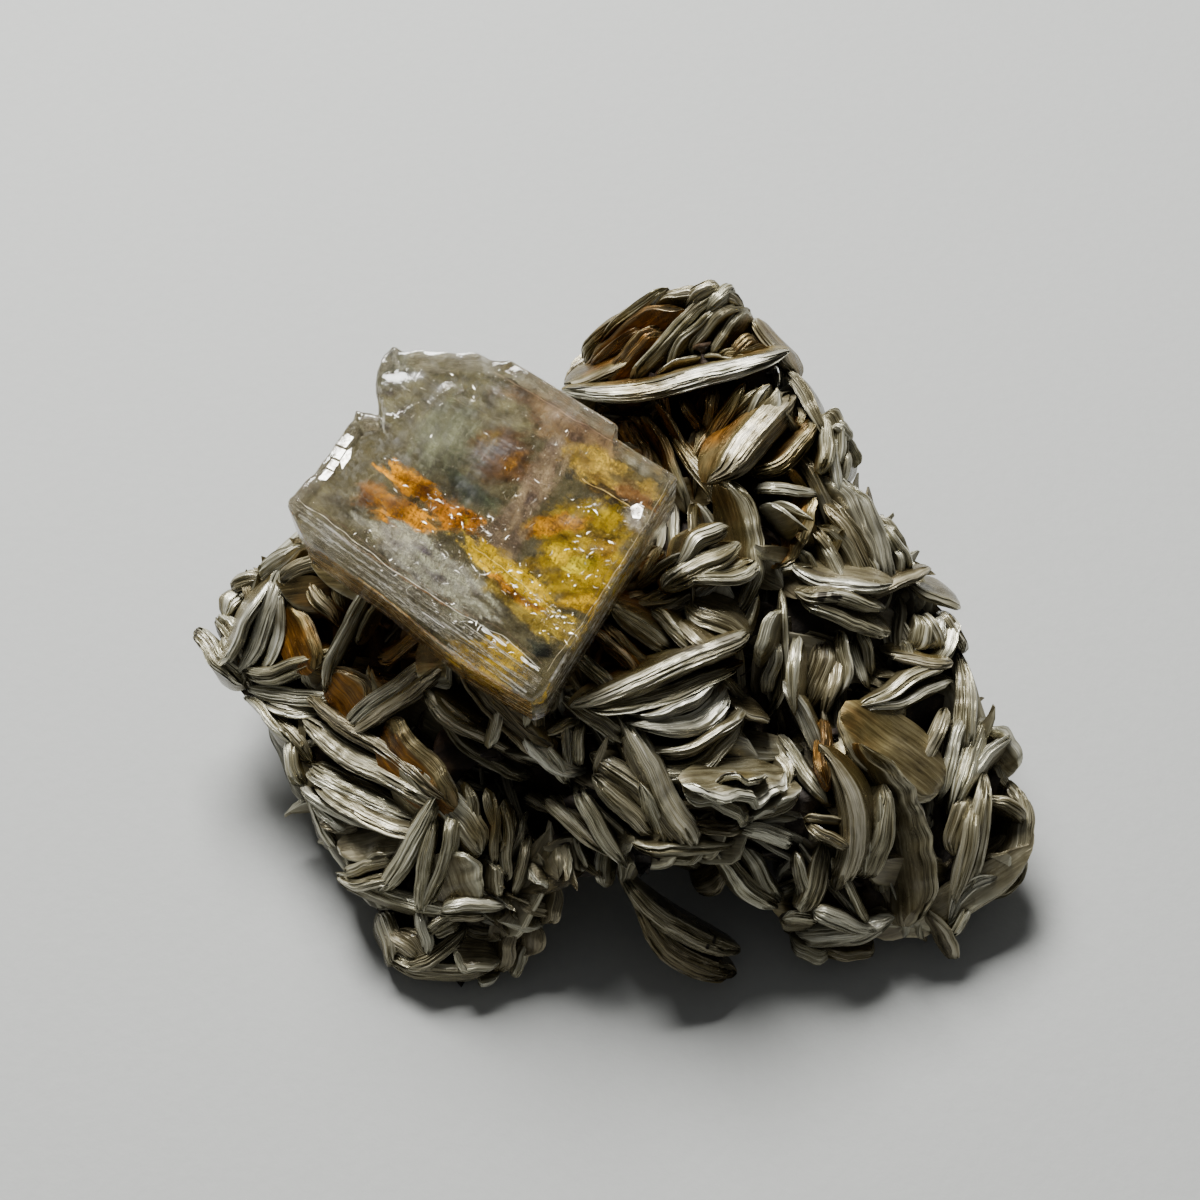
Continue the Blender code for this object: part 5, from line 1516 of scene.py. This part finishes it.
def makeFlashes(setup):
    rng = np.random.default_rng(5)
    points, faces = [], []

    def addPlane(ring):
        faces.append(list(range(len(points), len(points) + len(ring))))
        points.extend(ring)

    for (px, py), (along, across), angle, count, depth in flashes.values():
        turn = math.radians(angle)
        for _ in range(count):
            a, b = rng.normal(size=2) * (along, across) * 0.6
            x, y = px + a * math.cos(turn) + b * math.sin(turn), py - a * math.sin(turn) + b * math.cos(turn)
            spot = insideCrystal(x, y, depth * rng.uniform(0.7, 1.5))
            if crystalGap(spot) < 0.3:
                continue
            normal = flashNormal(spot, x, y) + setup["jitter"] * rng.normal(size=3)
            normal /= np.linalg.norm(normal)
            line = faceRight * math.cos(turn) + faceUp * math.sin(turn) + 0.7 * rng.normal(size=3)
            line -= normal * (line @ normal)
            line /= np.linalg.norm(line)
            other = np.cross(normal, line)
            length = setup["length"][0] + (setup["length"][1] - setup["length"][0]) * rng.random() ** 2
            width = rng.uniform(*setup["width"])
            bow = rng.uniform(-0.4, 0.4) * length
            addPlane([spot - line * length, spot - line * length * 0.3 - other * (width - bow),
                      spot + line * length * 0.4 - other * (width * 0.7 - bow), spot + line * length,
                      spot + line * length * 0.3 + other * (width * 0.6 + bow),
                      spot - line * length * 0.4 + other * (width + bow)])
    for corners in mirrors.values():
        x, y = np.mean(corners, axis=0)
        spot = insideCrystal(x, y, setup["mirrorDepth"])
        normal = flashNormal(spot, x, y)
        line = np.cross(faceUp, normal)
        line /= np.linalg.norm(line)
        other = np.cross(normal, line)
        addPlane([spot + (line * (px - x) - other * (py - y)) / pixelsPerMm for px, py in corners])
    mesh = bpy.data.meshes.new("fractures")
    mesh.from_pydata((np.array(points) * mm).tolist(), [], faces)
    addPiece("fracture_planes", mesh, fractureLook(setup))


makeFlashes(fracture)
print("fracture planes made")

# growth steps and cracks, and painted highlights and painted shade along the crystal's ridge and rims, drawn as light
# and dark lines
lines = {
    # pixels along the line, width mm, depth mm, colour
    # painted highlight along the ridge, with painted shade beside it
    "ridge": ([(299, 500), (345, 533), (393, 570), (428, 592), (462, 615), (503, 636), (541, 669)],
              0.07, 0.16, (0.52, 0.50, 0.43)),
    "ridgeShade": ([(318, 510), (348, 530), (396, 567), (430, 589), (464, 611), (506, 632), (543, 664)],
                   0.12, 0.30, (0.050, 0.030, 0.010)),
    # painted highlights: gleams along the ridge and at the tip
    "ridgeGleam": ([(416, 615), (429, 624), (440, 631)], 0.16, 0.20, (0.90, 0.90, 0.86)),
    "ridgeGleamLow": ([(482, 628), (494, 637), (507, 646)], 0.20, 0.20, (0.90, 0.90, 0.86)),
    "tipGleam": ([(521, 657), (531, 664), (539, 671)], 0.20, 0.20, (0.95, 0.95, 0.90)),
    "crack": ([(333, 531), (356, 545), (383, 563), (412, 583), (448, 606), (470, 617)],
              0.14, 0.5, (0.13, 0.060, 0.012)),
    "bandStep": ([(346, 556), (396, 600), (440, 632), (480, 655), (522, 678)], 0.10, 0.55, (0.42, 0.40, 0.32)),
    "bandBrown": ([(384, 584), (420, 610), (456, 636)], 0.12, 0.7, (0.12, 0.075, 0.025)),
    # painted highlight along the upper rim
    "upperRimHighlight": ([(514, 364), (545, 380), (578, 402), (614, 425)], 0.10, 0.2, (0.42, 0.38, 0.31)),
    "upperStep": ([(494, 372), (530, 392), (566, 414), (600, 434), (640, 457), (664, 474)],
                  0.07, 0.35, (0.16, 0.11, 0.07)),
    # painted highlights along the right and side rims, and painted shade beside the side rim
    "rightRimHighlight": ([(622, 436), (645, 450), (669, 471)], 0.08, 0.2, (0.40, 0.33, 0.22)),
    "sideRimHighlight": ([(670, 480), (655, 508), (630, 548), (600, 596), (572, 636), (546, 672)],
                0.06, 0.18, (0.42, 0.37, 0.27)),
    "sideShade": ([(664, 482), (649, 508), (624, 548), (594, 595), (567, 634)], 0.08, 0.35, (0.10, 0.06, 0.018)),
    "innerStep": ([(424, 378), (452, 398), (486, 414), (530, 432), (548, 440)], 0.07, 0.7, (0.085, 0.065, 0.035)),
    "fingerLine": ([(472, 546), (500, 566), (528, 588), (556, 612)], 0.09, 0.9, (0.66, 0.50, 0.10)),
    "fingerShade": ([(478, 560), (505, 583), (532, 604), (558, 626)], 0.10, 1.2, (0.10, 0.045, 0.004)),
    "wedgeLine": ([(582, 478), (606, 492), (632, 508)], 0.08, 0.9, (0.60, 0.44, 0.14)),
}
lineSetup = {"step": 2.5, "sway": 2.2, "fray": 1.1}    # pixels between points, pixels, share of the width


def lineLook():
    look = Look("growth line")
    # the lines carry growth steps and cracks, and also painted highlights and painted shade along the ridge and rims
    place = look.attribute("place")
    grain = look.noiseAt(look.stretch(place, (0.12, 1.2, 1.0)), 1.0, 4.0, 0.7)
    colour = look.blend(1.0, look.attribute("tint", "Color"),
                        look.ramp(grain, [(0.36, (0.45, 0.42, 0.36)), (0.62, (1.4, 1.4, 1.4))]), "MULTIPLY")
    return look.finish(look.surface({
        "Base Color": colour, "Roughness": grain * 0.4 + 0.2, "IOR": 1.5,
        "Alpha": look.step(grain, 0.42, 0.54), "Normal": look.bump(0.8, 0.0004, grain)}))


def makeLines(setup):
    points, places, tints, index = [], [], [], {}
    for number, (path, width, depth, colour) in enumerate(lines.values()):
        path = np.array(path, float)
        lengths = np.append(0, np.cumsum(np.linalg.norm(np.diff(path, axis=0), axis=1)))
        along = np.arange(0, lengths[-1], setup["step"])
        run = np.column_stack([np.interp(along, lengths, path[:, k]) for k in (0, 1)])
        heading = np.gradient(run, axis=0)
        heading /= np.linalg.norm(heading, axis=1)[:, None]
        for i, (spot, (dx, dy)) in enumerate(zip(run, heading)):
            sway = noise.noise(Vector((along[i] * 0.05, number * 3.0, 0))) * setup["sway"]
            thick = width * pixelsPerMm * (1 + setup["fray"] * noise.noise(Vector((along[i] * 0.11, number, 9))))
            for j in (0, 1, 2):
                off = sway + thick * (j - 1) * 0.5
                point = insideCrystal(spot[0] - dy * off, spot[1] + dx * off, depth)
                if crystalGap(point) < depth * 0.5:    # follow the crystal's skin where it falls away
                    skin, normal, _, _ = crystalTree.find_nearest(Vector(point))
                    point = np.array(skin - normal * depth * 0.6)
                index[i + number * 1000, j] = len(points)
                points.append(point)
                places.append((along[i], j * 3.0, number * 7.0))
                tints.append((*colour, 1.0))
    mesh = gridMesh("growth_lines", index, points, {
        "place": ("FLOAT_VECTOR", "vector", places), "tint": ("FLOAT_COLOR", "color", tints)})
    addPiece("growth_lines", mesh, lineLook())


makeLines(lineSetup)
print("growth lines made")

studio = {
    "floor": (0.345, 0.35, 0.335),
    "floorSize": 8.0,             # metres
    "floorMiddle": (0, 0.4, 0),
    "sky": (0.95, 0.97, 1.0, 1),
    "skyStrength": 0.15,
}


def makeFloor(setup):
    bpy.ops.mesh.primitive_plane_add(size=setup["floorSize"], location=setup["floorMiddle"])
    floor = bpy.context.object
    floor.name = "floor"
    look = Look("paper")
    where = look.objectPlace()
    grain = look.noiseAt(where, 900.0, 4.0, 0.6)
    colour = look.blend(grain, *(tuple(c * tone for c in setup["floor"]) for tone in (0.96, 1.04)))
    bump = look.bump(0.2, 0.0002, grain)
    floor.data.materials.append(look.finish(look.surface({
        "Base Color": colour, "Roughness": 0.85, "Normal": bump})))


def makeLamp(setup):
    data = bpy.data.lights.new("top_light", "AREA")
    data.shape = "RECTANGLE"
    data.size = data.size_y = setup["side"] * mm
    data.energy = setup["power"]
    place, aim = (Vector([c * mm for c in setup[key]]) for key in ("place", "aim"))
    lamp = bpy.data.objects.new("top_light", data)
    lamp.location = place
    lamp.rotation_euler = (aim - place).to_track_quat("-Z", "Y").to_euler()
    bpy.context.scene.collection.objects.link(lamp)


def makeSky(setup):
    world = bpy.data.worlds.new("studio")
    world.use_nodes = True
    background = world.node_tree.nodes["Background"]
    background.inputs["Color"].default_value = setup["sky"]
    background.inputs["Strength"].default_value = setup["skyStrength"]
    bpy.context.scene.world = world


makeFloor(studio)
makeSky(studio)
makeLamp(lampSetup)
print("studio made")

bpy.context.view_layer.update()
heavy = sorted(((sum(len(face.vertices) - 2 for face in made.data.polygons), made.name)
                for made in bpy.context.scene.objects if made.type == "MESH" and made not in cadNodes.values()),
               reverse=True)
print("triangles", sum(count for count, _ in heavy), "most", heavy[:4])
